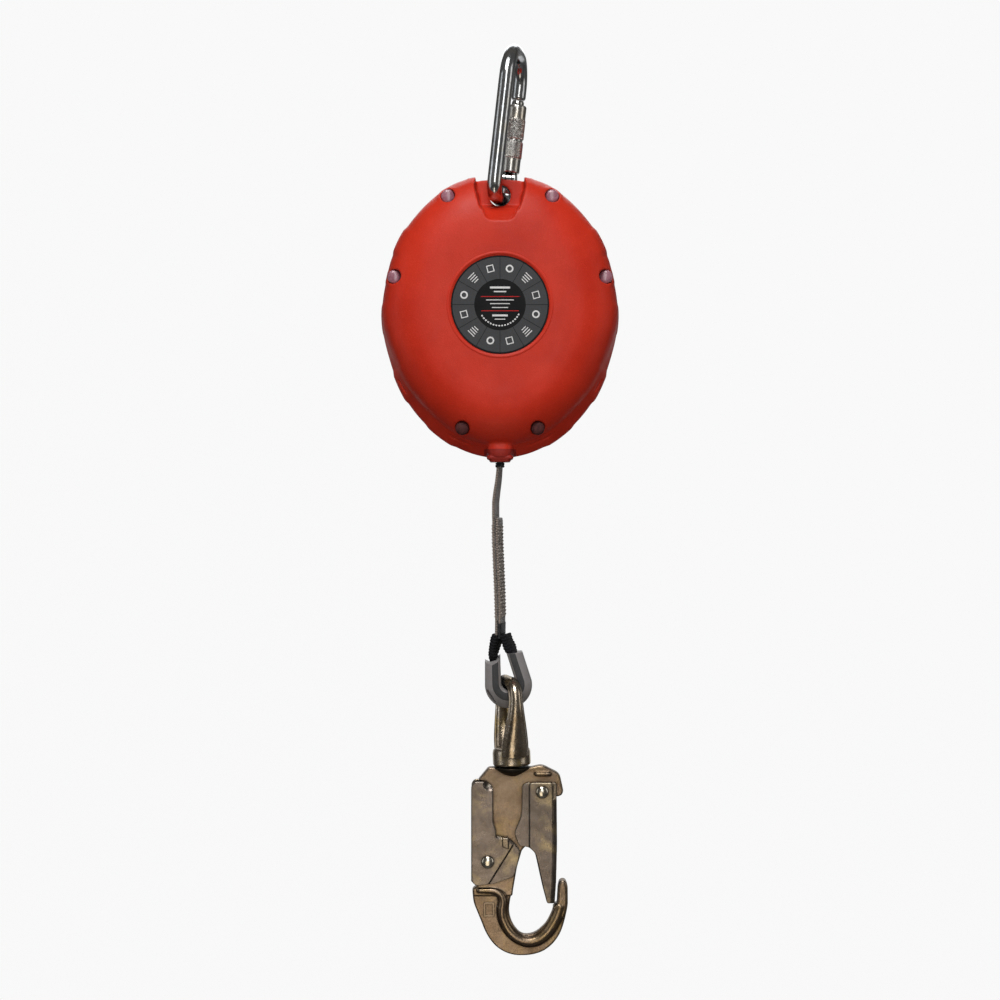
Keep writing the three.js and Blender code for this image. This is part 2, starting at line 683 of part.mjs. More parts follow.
function thimble() {
  const outline = [
    [-9.9, -231.6], [-9.9, THIMBLE.z],
    ...arc([THIMBLE.x, THIMBLE.z], THIMBLE.outerR, 190, 368, 16),
    [14.7, -225.8], [4.3, -226.6], ...seatOutline(0), [0.2, -232.3]];
  let body = prismY(outline, both(THIMBLE.half));
  // the bearing side is crowned: its edges fall away towards both faces
  const section = (y, grow) =>
    [[4.3 + grow * 0.94, -220], ...seatOutline(grow), [0.1 - grow, -220]]
      .map(([x, z]) => [x, y, z]);
  for (const side of [1, -1]) {
    body = body.subtract(loft([section(side * 0.8, 0), section(side * (THIMBLE.half + 1), 3.5)]));
  }
  // hollow the webbing runs through
  const channel = [...parallel(LOOP, -2.35), ...parallel(LOOP, 2.35).reverse()];
  return body.subtract(prismY(channel, both(11.4)));
}

piece(layout, 'webbing_line',
  box(both(WEB_T / 2), both(WEB_HALF), [LINE_END, LINE_TOP]), 'web');
piece(layout, 'webbing_end', webbingEnd(), 'web');
piece(layout, 'wear_sleeve', wearSleeve(), 'knit');
piece(layout, 'thimble', thimble(), 'grey');

// ---------------------------------------------------------------- swivel eye
const SWIVEL_AXIS = [7.9, 0];            // X, Y
const EYE_TOP = -246.0;                  // centre of the ring's top bar
const COLLAR_BOTTOM = -301;
const COLLAR_TOP = -289;
const PIN_R = 4.5;
const PIN_END = -311;

// ring and collar in a local frame with the top bar at the origin
function swivelEye() {
  const halfWidth = 20.4;
  const cornerR = 9.6;
  const cornerY = halfWidth - cornerR;
  const bottom = COLLAR_BOTTOM - EYE_TOP;
  const top = COLLAR_TOP - EYE_TOP;
  const leg = [[halfWidth, -19], [18.4, -27], [14.8, -36], [10.8, top - 2.5]];
  const path = [
    ...mirrored(leg),
    ...arc([-cornerY, -cornerR], cornerR, 180, 90, 4),
    ...arc([cornerY, -cornerR], cornerR, 90, 0, 4),
    ...leg];
  return barYZ(path, 4.0, 12)
    .add(rodZ(12.5, [bottom, top], [0, 0], 24))
    .subtract(rodZ(5.5, [bottom - 5, top + 8], [0, 0], 20))
    // room for the pin head
    .subtract(rodZ(7.3, [top, top + 9], [0, 0], 20));
}

const swivelPin = () => rodZ(PIN_R, [PIN_END, COLLAR_TOP + 1.5], SWIVEL_AXIS, 16)
  .add(rodZ(6.5, [COLLAR_TOP + 0.8, COLLAR_TOP + 6.8], SWIVEL_AXIS, 16, 5.2));

{
  const eye = new THREE.Group();
  eye.position.set(THIMBLE.x, 0, EYE_TOP);
  // lean from the thimble to the swivel axis
  eye.rotation.y = -Math.atan2(SWIVEL_AXIS[0] - THIMBLE.x, EYE_TOP - COLLAR_BOTTOM);
  const turned = new THREE.Group();
  turned.rotation.z = radians(12);
  eye.add(turned);
  layout.add(eye);
  piece(turned, 'swivel_eye', swivelEye(), 'zinc');
  piece(layout, 'swivel_pin', swivelPin(), 'zinc');
}

// ---------------------------------------------------------------------- hook
const HOOK_HALF = 4;                     // half thickness of the hook plate
const GATE_OUT = 5.8;                    // outer faces of the gate and lock lever cheeks
const LOCK_OUT = 7.6;
const GATE_RIVET = [27.7, -317.9];       // X, Z
const LOCK_RIVET = [-8.05, -363.5];
// all outlines below: x, z
const HOOK_PLATE = [
  [-7.6, -302.0], [20.5, -301.9], [27.1, -300.2], [39.3, -306.2], [41.6, -317.4],
  [38.3, -321.4], [38.3, -311.2], [35.0, -311.2], [35.0, -322], [29.7, -328],
  [22.4, -328], [18.5, -333.9], [18.5, -352.4], [14.5, -356.3], [11.2, -367.6],
  [8.6, -382.7], [6.9, -390], [-17.2, -390], [-18.2, -382.1], [-14.5, -379.4],
  [-14.5, -368.9], [-12.4, -357], [-8.4, -317.4], [-8.4, -312.4], [-14.6, -310.4]];
const HOOK_BOWL = [
  [-18.2, -382.1], [-17.8, -385.4], [-17.2, -391.3], [-15.2, -395.3], [-12.9, -401.9],
  [-10.6, -409.1], [-7.3, -415.1], [-3.3, -419.7], [1.3, -423], [7.3, -425.3],
  [14.5, -425.8], [21.8, -425.2], [28.4, -423], [33.7, -419], [37.3, -414.8],
  [40.3, -409.8], [42.2, -403.2], [43.6, -397.9], [44.6, -392], [44.6, -380.1],
  [43.6, -376.8], [40.9, -375.8], [38.9, -376.8], [38.5, -380.8], [38.5, -392.3],
  [34, -393.6], [31.7, -396.6], [30, -400.6], [27.1, -406.5], [23.8, -410.5],
  [19.8, -412.0], [14.5, -411.8], [10.6, -407.8], [7.6, -403.2], [6.3, -397.3],
  [6.5, -392], [8.6, -384.1]];
const GATE_CHEEK = [
  [15.2, -313.4], [17.8, -311.8], [37.6, -311.8], [37.8, -351.7], [37.2, -376.8],
  [36, -391.3], [30.7, -391.3], [27.7, -379.4], [25.1, -367.6], [22.8, -357],
  [18.9, -354], [12.5, -353], [9.2, -345.1], [14.5, -333.2]];
const GATE_BRIDGE = [
  [35.6, -322.5], [45, -322.5], [45, -391.3], [34.2, -391.3], [35.5, -376.8], [36, -351.7]];
const LOCK_CHEEK = [
  [-16.5, -313.4], [-13.2, -311.3], [-2, -311.3], [-1.3, -314.8], [-1.3, -347.8],
  [8.6, -349.1], [13.6, -356.3], [9.9, -373.2], [-5.9, -379.4], [-15.2, -380.1],
  [-18.9, -376.8], [-19.1, -317.4]];
const LOCK_BRIDGE = [[-30, -315.6], [-17.6, -315.6], [-17.6, -376.8], [-30, -376.8]];

const rivetHole = (at) => rodY(2.8, both(20), at, 14);

function hookBody() {
  let body = prismY(HOOK_PLATE, both(HOOK_HALF), { chamfer: 0.8 })
    .add(prismY(HOOK_BOWL, both(6), { chamfer: 1.6 }))
    // flat seat at the bottom of the bowl
    .add(box([14, 20.2], both(3.6), [-416, -411.7]))
    // socket for the swivel pin
    .add(rodZ(6.9, [-313.5, -302.0], SWIVEL_AXIS, 16))
    .subtract(rodZ(PIN_R + GAP, [PIN_END - GAP, -290], SWIVEL_AXIS, 16));
  for (const at of [GATE_RIVET, LOCK_RIVET]) {
    // rivet hole, and a pocket in the front face for the coil spring
    body = body.subtract(rivetHole(at)).subtract(rodY(5.8, [-20, -0.4], at, 16));
  }
  return body;
}

// two cheeks either side of the hook, joined where the bridge outline covers them
function channelPart({ cheek, bridge, inner, outer, rivet }) {
  return prismY(cheek, [inner, outer])
    .add(prismY(cheek, [-outer, -inner]))
    .add(prismY(cheek, both(outer)).intersect(prismY(bridge, both(outer))))
    .subtract(rivetHole(rivet));
}

const hookGate = () => channelPart({
  cheek: GATE_CHEEK,
  bridge: GATE_BRIDGE,
  inner: HOOK_HALF + GAP,
  outer: GATE_OUT,
  rivet: GATE_RIVET,
});

const hookLockLever = () => channelPart({
  cheek: LOCK_CHEEK,
  bridge: LOCK_BRIDGE,
  inner: GATE_OUT + GAP,
  outer: LOCK_OUT,
  rivet: LOCK_RIVET,
});

// reach is the distance from the middle of the hook to the underside of each head
function rivet(at, reach) {
  const innerR = 4.2;
  const outerR = 3.2;
  const end = reach + 1.2;
  return rodY(2.4, both(reach + 0.5), at, 12)
    .add(rodY(innerR, [reach, end], at, 14, outerR))
    .add(rodY(outerR, [-end, -reach], at, 14, innerR));
}

const hookSpring = (centre) => coilY({
  centre,
  radius: 4.1,
  wireRadius: 0.5,
  span: [-3.2, -1.0],
  start: 0,
  sweep: 720,
  steps: 16,
});

piece(layout, 'hook_body', hookBody(), 'zinc');
piece(layout, 'hook_gate', hookGate(), 'zinc');
piece(layout, 'hook_lock_lever', hookLockLever(), 'zinc');
piece(layout, 'gate_rivet', rivet(GATE_RIVET, GATE_OUT + GAP), 'zinc');
piece(layout, 'lock_rivet', rivet(LOCK_RIVET, LOCK_OUT + GAP), 'zinc');
piece(layout, 'gate_spring', hookSpring(GATE_RIVET), 'spring');
piece(layout, 'lock_spring', hookSpring(LOCK_RIVET), 'spring');

export default group;
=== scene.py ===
"""Hanging webbing retractor: an anchor connector on top, a red two-shell case around the
drum, a sewn strap with a thimble, and a swivel snap hook at the bottom.

Everything is laid out in millimetres about the drum axis, with +X right, -Y the front
(label) side and +Z up. to_world turns that into the metres of the frame.
"""
import json
import math
import bmesh
import bpy
import numpy as np
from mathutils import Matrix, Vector

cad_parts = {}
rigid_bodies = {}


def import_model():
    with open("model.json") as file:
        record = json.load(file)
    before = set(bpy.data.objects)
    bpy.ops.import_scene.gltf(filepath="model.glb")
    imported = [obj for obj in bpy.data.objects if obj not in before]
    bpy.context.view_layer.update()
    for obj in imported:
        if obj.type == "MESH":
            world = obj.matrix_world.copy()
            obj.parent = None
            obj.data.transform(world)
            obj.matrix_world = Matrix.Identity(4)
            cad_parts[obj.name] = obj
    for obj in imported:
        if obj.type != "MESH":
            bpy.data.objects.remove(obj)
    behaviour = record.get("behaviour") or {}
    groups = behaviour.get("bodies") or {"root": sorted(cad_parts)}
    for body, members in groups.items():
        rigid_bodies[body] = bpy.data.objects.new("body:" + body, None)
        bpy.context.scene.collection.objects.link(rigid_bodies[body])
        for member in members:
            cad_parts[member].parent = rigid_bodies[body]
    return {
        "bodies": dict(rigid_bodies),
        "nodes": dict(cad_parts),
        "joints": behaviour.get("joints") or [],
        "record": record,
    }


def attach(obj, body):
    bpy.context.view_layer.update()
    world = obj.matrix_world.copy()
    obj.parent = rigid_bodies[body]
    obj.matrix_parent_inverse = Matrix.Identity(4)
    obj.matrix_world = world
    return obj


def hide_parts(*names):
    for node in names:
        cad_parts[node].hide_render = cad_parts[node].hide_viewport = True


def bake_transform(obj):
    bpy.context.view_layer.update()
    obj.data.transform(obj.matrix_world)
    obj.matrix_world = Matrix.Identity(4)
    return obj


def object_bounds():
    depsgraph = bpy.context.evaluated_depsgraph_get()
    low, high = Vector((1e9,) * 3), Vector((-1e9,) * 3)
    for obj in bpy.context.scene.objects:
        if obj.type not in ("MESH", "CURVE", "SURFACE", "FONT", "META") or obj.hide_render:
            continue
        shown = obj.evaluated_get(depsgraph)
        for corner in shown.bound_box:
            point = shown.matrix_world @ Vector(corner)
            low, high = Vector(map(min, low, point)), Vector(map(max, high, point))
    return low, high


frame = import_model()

CAD_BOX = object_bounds()
DRUM = np.array({j["name"]: j for j in frame["joints"]}["drum_spin"]["pos_m"], float)
rad = math.radians


# ------------------------------------------------------------------ points and curves
def to_world(points):
    """layout millimetres -> frame metres"""
    return DRUM + np.asarray(points, float) / 1000.0


def smoothstep(start, end, x):
    t = np.clip((np.asarray(x, float) - start) / (end - start), 0, 1)
    return t * t * (3 - 2 * t)


def rot_y(deg):
    c, s = math.cos(rad(deg)), math.sin(rad(deg))
    return np.array([[c, 0, s], [0, 1, 0], [-s, 0, c]])


def rot_z(deg):
    c, s = math.cos(rad(deg)), math.sin(rad(deg))
    return np.array([[c, -s, 0], [s, c, 0], [0, 0, 1]])


class LocalFrame:
    """turned local axes -> layout millimetres"""

    def __init__(self, origin, y_deg, z_deg):
        self.origin = np.array(origin, float)
        self.turn = rot_y(y_deg) @ rot_z(z_deg)

    def __call__(self, points):
        return self.origin + np.asarray(points, float) @ self.turn.T


CONNECTOR = LocalFrame((0, 0, 72.6), 6.4, -11)
EYE = LocalFrame((5.6, 0, -246), -2.395, 12)


def full_turn(n):
    return np.linspace(0, 2 * math.pi, n, endpoint=False)


def unit(vectors):
    return vectors / np.linalg.norm(vectors, axis=1)[:, None]


def arc(cx, cy, radius, start, end, n):
    angles = [rad(start + (end - start) * i / n) for i in range(n + 1)]
    return [(cx + radius * math.cos(t), cy + radius * math.sin(t)) for t in angles]


def dedupe(points, eps=1e-6):
    out = [np.array(points[0], float)]
    for p in points[1:]:
        p = np.array(p, float)
        if np.linalg.norm(p - out[-1]) > eps:
            out.append(p)
    return np.array(out)


def run_length(path):
    return np.r_[0, np.cumsum(np.linalg.norm(np.diff(path, axis=0), axis=1))]


def resample(points, step):
    path = dedupe(points)
    dist = run_length(path)
    at = np.linspace(0, dist[-1], max(2, int(round(dist[-1] / step)) + 1))
    return np.stack([np.interp(at, dist, path[:, k]) for k in range(path.shape[1])], 1)


def spline(p0, p1, p2, p3, t):
    """Catmull-Rom point between p1 and p2"""
    return 0.5 * (2 * p1 + (p2 - p0) * t + (2 * p0 - 5 * p1 + 4 * p2 - p3) * t * t
                  + (3 * p1 - p0 - 3 * p2 + p3) * t ** 3)


def catmull(points, n):
    """open curve through the points, n steps to a span"""
    p = np.asarray(points, float)
    last = len(p) - 1
    out = []
    for i in range(last):
        knots = p[max(i - 1, 0)], p[i], p[i + 1], p[min(i + 2, last)]
        out += [spline(*knots, k / n) for k in range(n)]
    return np.array(out + [p[-1]])


def soften(rows, radius=None, n=5):
    """rounds the corners of a closed outline; rows are (x, z, radius), or (x, z) with one radius"""
    rows = np.array(rows, float)
    corners = rows[:, :2]
    radii = rows[:, 2] if radius is None else [radius] * len(rows)
    out = []
    for i, corner in enumerate(corners):
        back = corners[i - 1] - corner
        ahead = corners[(i + 1) % len(corners)] - corner
        back_len, ahead_len = np.linalg.norm(back), np.linalg.norm(ahead)
        inset = min(radii[i], 0.45 * back_len, 0.45 * ahead_len)
        if inset < 0.05:
            out.append(corner)
            continue
        start = corner + back / back_len * inset
        end = corner + ahead / ahead_len * inset
        for k in range(n + 1):
            t = k / n
            out.append((1 - t) ** 2 * start + 2 * t * (1 - t) * corner + t * t * end)
    return dedupe(out, 1e-4)


def mirrored(half):
    """a half section followed by its mirror image in the second coordinate"""
    return half + [(a, -b) for a, b in half[::-1]]


def circle(radius, n):
    return np.stack([radius * np.cos(full_turn(n)), radius * np.sin(full_turn(n))], 1)


def superellipse(half_a, half_b, power, n):
    c, s = np.cos(full_turn(n)), np.sin(full_turn(n))
    return np.stack([half_a * np.sign(c) * np.abs(c) ** (2 / power),
                     half_b * np.sign(s) * np.abs(s) ** (2 / power)], 1)


def ring_path(radius, y, z, n=96):
    """circle in the X-Z plane"""
    x_z = circle(radius, n)
    return np.stack([x_z[:, 0], np.full(n, y), z + x_z[:, 1]], 1)


def in_xz(path):
    return np.stack([path[:, 0], np.zeros(len(path)), path[:, 1]], 1)


# ------------------------------------------- shapes, each returned as (vertices, faces)
def loft(rings, wrap=False):
    """skin over rings of equal count, capped unless it wraps"""
    rings = np.asarray(rings, float)
    m, n = rings.shape[:2]
    faces = []
    for i in range(m if wrap else m - 1):
        i2 = (i + 1) % m
        for j in range(n):
            k = (j + 1) % n
            faces.append((i * n + j, i * n + k, i2 * n + k, i2 * n + j))
    if not wrap:
        faces.append(tuple(range(n))[::-1])
        faces.append(tuple(range((m - 1) * n, m * n)))
    return rings.reshape(-1, 3), faces


def merge(parts):
    all_verts, all_faces, start = [], [], 0
    for verts, faces in parts:
        all_verts.append(np.asarray(verts, float))
        all_faces += [tuple(i + start for i in face) for face in faces]
        start += len(verts)
    return np.concatenate(all_verts), all_faces


def sweep(path, binormal, section, wrap=False):
    """section: pairs along the in-plane normal and the binormal, or a function (i, u) of them"""
    p = np.asarray(path, float)
    b = np.asarray(binormal, float)
    tangent = np.roll(p, -1, 0) - np.roll(p, 1, 0) if wrap else np.gradient(p, axis=0)
    normal = unit(np.cross(b, tangent))
    rings = []
    for i in range(len(p)):
        s = section(i, i / (len(p) - 1)) if callable(section) else section
        rings.append(p[i] + s[:, :1] * normal[i] + s[:, 1:2] * b)
    return loft(rings, wrap)


def lathe(profile, n, center=(0, 0, 0), axis="Z"):
    """turned solid; profile of (radius, height), a radius of 0 closes the end"""
    rings = []
    for radius, height in profile:
        u, v = circle(max(radius, 1e-4), n).T
        h = np.full(n, height)
        ring = {"X": (h, u, v), "Y": (u, h, v), "Z": (u, v, h)}[axis]
        rings.append(np.stack(ring, 1) + np.array(center))
    return loft(rings)


def prism(outline, y0, y1):
    n = len(outline)
    verts = [(x, y, z) for y in (y0, y1) for x, z in outline]
    faces = [tuple(range(n)), tuple(range(n, 2 * n))[::-1]]
    faces += [(i, (i + 1) % n, n + (i + 1) % n, n + i) for i in range(n)]
    return np.array(verts, float), faces


def box(x0, x1, y0, y1, z0, z1):
    y0, y1 = sorted((y0, y1))
    verts = np.array([(x, y, z) for x in (x0, x1) for y in (y0, y1) for z in (z0, z1)], float)
    return verts, [(0, 1, 3, 2), (4, 6, 7, 5), (0, 4, 5, 1), (2, 3, 7, 6), (0, 2, 6, 4), (1, 5, 7, 3)]


def plate(outline, y0, y1, bevel, holes=(), res=3):
    """prism of an X-Z outline between two Y values with rolled edges"""
    y0, y1 = sorted((y0, y1))
    curve = bpy.data.curves.new("plate", "CURVE")
    curve.dimensions = "2D"
    curve.fill_mode = "BOTH"
    for points in [outline, *holes]:
        line = curve.splines.new("POLY")
        line.points.add(len(points) - 1)
        co = np.zeros((len(points), 4))
        co[:, :2] = points
        co[:, 3] = 1
        line.points.foreach_set("co", co.ravel())
        line.use_cyclic_u = True
    curve.extrude = max((y1 - y0) / 2 - bevel, 0.0)
    curve.bevel_depth = bevel
    curve.bevel_resolution = res
    curve.offset = -bevel
    ob = bpy.data.objects.new("plate", curve)
    bpy.context.scene.collection.objects.link(ob)
    bpy.context.view_layer.update()
    depsgraph = bpy.context.evaluated_depsgraph_get()
    mesh = bpy.data.meshes.new_from_object(ob.evaluated_get(depsgraph))
    bpy.data.objects.remove(ob)
    co = np.zeros(len(mesh.vertices) * 3)
    mesh.vertices.foreach_get("co", co)
    co = co.reshape(-1, 3)
    verts = np.stack([co[:, 0], (y0 + y1) / 2 + co[:, 2], co[:, 1]], 1)
    faces = [tuple(p.vertices) for p in mesh.polygons]
    bpy.data.meshes.remove(mesh)
    return verts, faces


# --------------------------------------------------------------------------- objects
def set_mats(ob, mats):
    ob.data.materials.clear()
    for m in mats if isinstance(mats, (list, tuple)) else [mats]:
        ob.data.materials.append(m)


def shade(ob, angle):
    """smooth shading with edges above the angle kept sharp; 180 keeps none"""
    mesh = ob.data
    mesh.polygons.foreach_set("use_smooth", np.ones(len(mesh.polygons), bool))
    if angle < 180:
        mesh.set_sharp_from_angle(angle=rad(angle))
    mesh.update()


def make(name, verts, faces, mats, angle, face_mats=None, weld=0.0):
    mesh = bpy.data.meshes.new(name)
    mesh.from_pydata(to_world(verts).tolist(), [], faces)
    mesh.update()
    bm = bmesh.new()
    bm.from_mesh(mesh)
    if weld:
        bmesh.ops.remove_doubles(bm, verts=bm.verts, dist=weld / 1000.0)
    bmesh.ops.recalc_face_normals(bm, faces=bm.faces)
    bm.to_mesh(mesh)
    bm.free()
    ob = bpy.data.objects.new(name, mesh)
    bpy.context.scene.collection.objects.link(ob)
    set_mats(ob, mats)
    if face_mats is not None:
        mesh.polygons.foreach_set("material_index", np.asarray(face_mats, np.int32))
    shade(ob, angle)
    return ob


def solid(verts, faces, name="tmp", weld=0.0, frame=None):
    """bare closed body, for booleans and fusing"""
    return make(name, frame(verts) if frame else verts, faces, [], 180, weld=weld)


def rod(x, z, radius, y0, y1, n=48):
    """round body along Y"""
    y0, y1 = sorted((y0, y1))
    profile = [(0, y0), (radius, y0), (radius, y1), (0, y1)]
    return solid(*lathe(profile, n, (x, 0, z), "Y"))


def settle(ob):
    """applies the object's modifiers"""
    bpy.context.view_layer.update()
    depsgraph = bpy.context.evaluated_depsgraph_get()
    mesh = bpy.data.meshes.new_from_object(
        ob.evaluated_get(depsgraph), preserve_all_data_layers=True, depsgraph=depsgraph)
    ob.modifiers.clear()
    old = ob.data
    ob.data = mesh
    bpy.data.meshes.remove(old)


def volume(ob):
    bm = bmesh.new()
    bm.from_mesh(ob.data)
    size = abs(bm.calc_volume())
    bm.free()
    return size


def cut(ob, cutters, mode="DIFFERENCE"):
    """boolean with each cutter in turn; a result of the wrong volume is undone"""
    for cutter in cutters:
        before, keep = volume(ob), ob.data.copy()
        for solver in ("MANIFOLD", "EXACT"):
            mod = ob.modifiers.new("cut", "BOOLEAN")
            mod.operation = mode
            mod.object = cutter
            try:  # guards Blender builds that lack the MANIFOLD solver
                mod.solver = solver
            except TypeError:
                ob.modifiers.clear()
                continue
            settle(ob)
            after = volume(ob)
            fine = after > before * 0.9995 if mode == "UNION" else after < before * 1.0005
            if len(ob.data.polygons) > 3 and after > 1e-12 and fine:
                break
            ob.data = keep.copy()
        bpy.data.objects.remove(cutter)


def skin(ob, voxel, rounds, mats):
    """one continuous smoothed surface; voxel in millimetres"""
    remesh = ob.modifiers.new("remesh", "REMESH")
    remesh.mode = "VOXEL"
    remesh.voxel_size = voxel / 1000.0 * 1.0
    remesh.use_smooth_shade = True
    smooth = ob.modifiers.new("smooth", "SMOOTH")
    smooth.factor = 0.5
    smooth.iterations = max(1, rounds)
    settle(ob)
    set_mats(ob, mats)
    shade(ob, 180)


def fuse(name, parts, voxel, rounds, mats):
    """one skin over overlapping closed solids"""
    bm = bmesh.new()
    for part in parts:
        bm.from_mesh(part.data)
        bpy.data.objects.remove(part)
    mesh = bpy.data.meshes.new(name)
    bm.to_mesh(mesh)
    bm.free()
    ob = bpy.data.objects.new(name, mesh)
    bpy.context.scene.collection.objects.link(ob)
    skin(ob, voxel, rounds, mats)
    return ob


def paint(ob, rule):
    """gives the second material to faces where rule(centres in mm, normals) holds"""
    polygons = ob.data.polygons
    centres, normals = np.zeros(len(polygons) * 3), np.zeros(len(polygons) * 3)
    polygons.foreach_get("center", centres)
    polygons.foreach_get("normal", normals)
    centres = (centres.reshape(-1, 3) - DRUM) * 1000
    picked = rule(centres, normals.reshape(-1, 3))
    polygons.foreach_set("material_index", picked.astype(np.int32))
    ob.data.update()


def place(ob, body, slot, *nodes):
    """body it rides on, material slot (not used), and the CAD pieces it replaces"""
    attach(ob, body)
    if nodes:
        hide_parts(*nodes)


# ------------------------------------------------------------------------- materials
def fresh_tree(owner):
    owner.use_nodes = True
    owner.node_tree.nodes.clear()
    return owner.node_tree


def scaled(colour, gain, lift=0.0):
    return tuple(v * gain + lift for v in colour)


class Graph:
    """node graph around one Principled shader, in object coordinates (metres)"""

    def __init__(self, name):
        self.material = bpy.data.materials.new(name)
        self.tree = fresh_tree(self.material)
        output = self.add("OutputMaterial")
        self.shader = self.add("BsdfPrincipled")
        self.tree.links.new(self.shader.outputs[0], output.inputs[0])
        self.coords = self.add("TexCoord").outputs["Object"]
        self.normal = None

    def add(self, kind):
        return self.tree.nodes.new("ShaderNode" + kind)

    def put(self, socket, value):
        """links an output, or sets a plain value or RGB colour"""
        if hasattr(value, "is_output"):
            self.tree.links.new(value, socket)
        elif isinstance(value, tuple) and len(value) == 3 and socket.type == "RGBA":
            socket.default_value = (*value, 1)
        else:
            socket.default_value = value

    def set(self, **values):
        for key, value in values.items():
            self.put(self.shader.inputs[key.replace("_", " ")], value)

    def noise(self, scale, detail, rough, distortion=0.0, stretch=None):
        vector = self.coords
        if stretch:
            mapping = self.add("Mapping")
            self.put(mapping.inputs["Vector"], vector)
            mapping.inputs["Scale"].default_value = stretch
            vector = mapping.outputs[0]
        node = self.add("TexNoise")
        for key, value in (("Vector", vector), ("Scale", scale), ("Detail", detail),
                           ("Roughness", rough), ("Distortion", distortion)):
            self.put(node.inputs[key], value)
        return node.outputs[0]

    def axis(self, k):
        node = self.add("SeparateXYZ")
        self.put(node.inputs[0], self.coords)
        return node.outputs[k]

    def op(self, kind, a, b=None):
        node = self.add("Math")
        node.operation = kind
        self.put(node.inputs[0], a)
        if b is not None:
            self.put(node.inputs[1], b)
        return node.outputs[0]

    def span(self, value, lo, hi, to=(0.0, 1.0)):
        """maps the range lo..hi onto the range to"""
        node = self.add("MapRange")
        for key, v in (("Value", value), ("From Min", lo), ("From Max", hi),
                       ("To Min", to[0]), ("To Max", to[1])):
            self.put(node.inputs[key], v)
        return node.outputs["Result"]

    def mix(self, mask, a, b):
        node = self.add("Mix")
        node.data_type = "RGBA"
        self.put(node.inputs[0], mask)
        self.put(node.inputs[6], a)
        self.put(node.inputs[7], b)
        return node.outputs[2]

    def tint(self, colour, mask, share, toward):
        """mixes a share of another colour in under a mask"""
        return self.mix(self.op("MULTIPLY", mask, share), colour, toward)

    def bump(self, height, strength, distance):
        """adds relief on top of any earlier bump"""
        node = self.add("Bump")
        self.put(node.inputs["Strength"], strength)
        self.put(node.inputs["Distance"], distance)
        self.put(node.inputs["Height"], height)
        if self.normal is not None:
            self.put(node.inputs["Normal"], self.normal)
        self.normal = node.outputs["Normal"]
        self.set(Normal=self.normal)

    def edges(self, lo, hi):
        """mask of convex edges"""
        return self.span(self.add("NewGeometry").outputs["Pointiness"], lo, hi)


def moulded(name, dark, light, rough=0.46, grain=1500, relief=0.16, scuff=0.25):
    """moulded plastic: cloudy tone, fine grain, faint scratches, paler edges"""
    g = Graph(name)
    tone = g.noise(scale=28, detail=4, rough=0.6)
    fine = g.noise(scale=grain, detail=2, rough=0.5)
    colour = g.mix(g.span(tone, 0.35, 0.68), dark, light)
    colour = g.tint(colour, g.span(fine, 0.50, 0.75), share=0.20, toward=scaled(light, 1.5, 0.02))
    scratch = g.noise(scale=260, detail=5, rough=0.65, distortion=0.4, stretch=(1, 1, 0.12))
    colour = g.tint(colour, g.span(scratch, 0.66, 0.74), share=scuff * 0.3,
                    toward=scaled(light, 1.3, 0.05))
    colour = g.tint(colour, g.edges(0.515, 0.57), share=scuff, toward=scaled(light, 1.25, 0.04))
    cloud = g.noise(scale=70, detail=4, rough=0.6)
    g.set(Base_Color=colour, Roughness=g.span(cloud, 0.3, 0.7, to=(rough - 0.05, rough + 0.07)),
          Specular_IOR_Level=0.24)
    g.bump(fine, strength=relief, distance=0.0004)
    coarse = g.noise(scale=grain * 0.4, detail=2, rough=0.5)
    g.bump(coarse, strength=relief * 0.6, distance=0.0008)
    return g.material


def metal(name, dark, light, rough, patch, grain=1400, relief=0.08, edge_wear_and_highlight=(0.8, 0.8, 0.78),
          edge_wear_and_highlight_share=0.5, tint=None, pits=0.0, crease_shade_reach=0.003):
    """metal: patches, mottling, edges paled partly by wear and partly as painted highlight,
    scratches; the last argument is the reach (m) of painted shade darkening creases
    """
    g = Graph(name)
    patches = g.noise(scale=patch, detail=5, rough=0.6, distortion=0.6)
    colour = g.mix(g.span(patches, 0.32, 0.68), dark, light)
    if tint is not None:
        stain = g.noise(scale=patch * 0.55, detail=3, rough=0.5, distortion=1.2)
        colour = g.mix(g.span(stain, 0.52, 0.72, to=(0, 0.75)), colour, tint)
    mottle = g.noise(scale=grain, detail=3, rough=0.6)
    colour = g.tint(colour, g.span(mottle, 0.45, 0.72), share=0.22, toward=scaled(dark, 0.55))
    # edges paled partly by wear and partly as painted highlight
    colour = g.tint(colour, g.edges(0.515, 0.565), share=edge_wear_and_highlight_share, toward=edge_wear_and_highlight)
    smear = g.noise(scale=patch * 2.2, detail=5, rough=0.65)
    roughness = g.op("ADD", g.span(smear, 0.3, 0.7, to=rough),
                     g.op("MULTIPLY", g.span(mottle, 0.5, 0.8), 0.08))
    # painted shade: ambient occlusion darkens the base colour in creases and in the gaps between
    # parts
    if crease_shade_reach:
        shadow = g.add("AmbientOcclusion")
        shadow.samples = 8
        shadow.inputs["Distance"].default_value = crease_shade_reach
        open_air = g.span(shadow.outputs["AO"], 0.42, 0.97)
        colour = g.mix(open_air, scaled(dark, 0.10), colour)
    g.set(Base_Color=colour, Metallic=1.0, Roughness=roughness)
    g.bump(mottle, strength=relief, distance=0.0003)
    scratch = g.noise(scale=330, detail=4, rough=0.7, distortion=0.2, stretch=(1, 1, 0.06))
    g.bump(scratch, strength=relief * 0.5, distance=0.0002)
    if pits:
        g.bump(g.noise(scale=240, detail=4, rough=0.6), strength=pits, distance=0.0009)
    return g.material


def label_ink(name, colour, rough=0.5):
    g = Graph(name)
    fine = g.noise(scale=900, detail=3, rough=0.5)
    base = g.mix(g.span(fine, 0.35, 0.7), scaled(colour, 0.88), colour)
    smear = g.noise(scale=120, detail=3, rough=0.5)
    g.set(Base_Color=base, Roughness=g.span(smear, 0.3, 0.7, to=(rough - 0.06, rough + 0.06)),
          Specular_IOR_Level=0.12)
    g.bump(fine, strength=0.05, distance=0.0002)
    return g.material


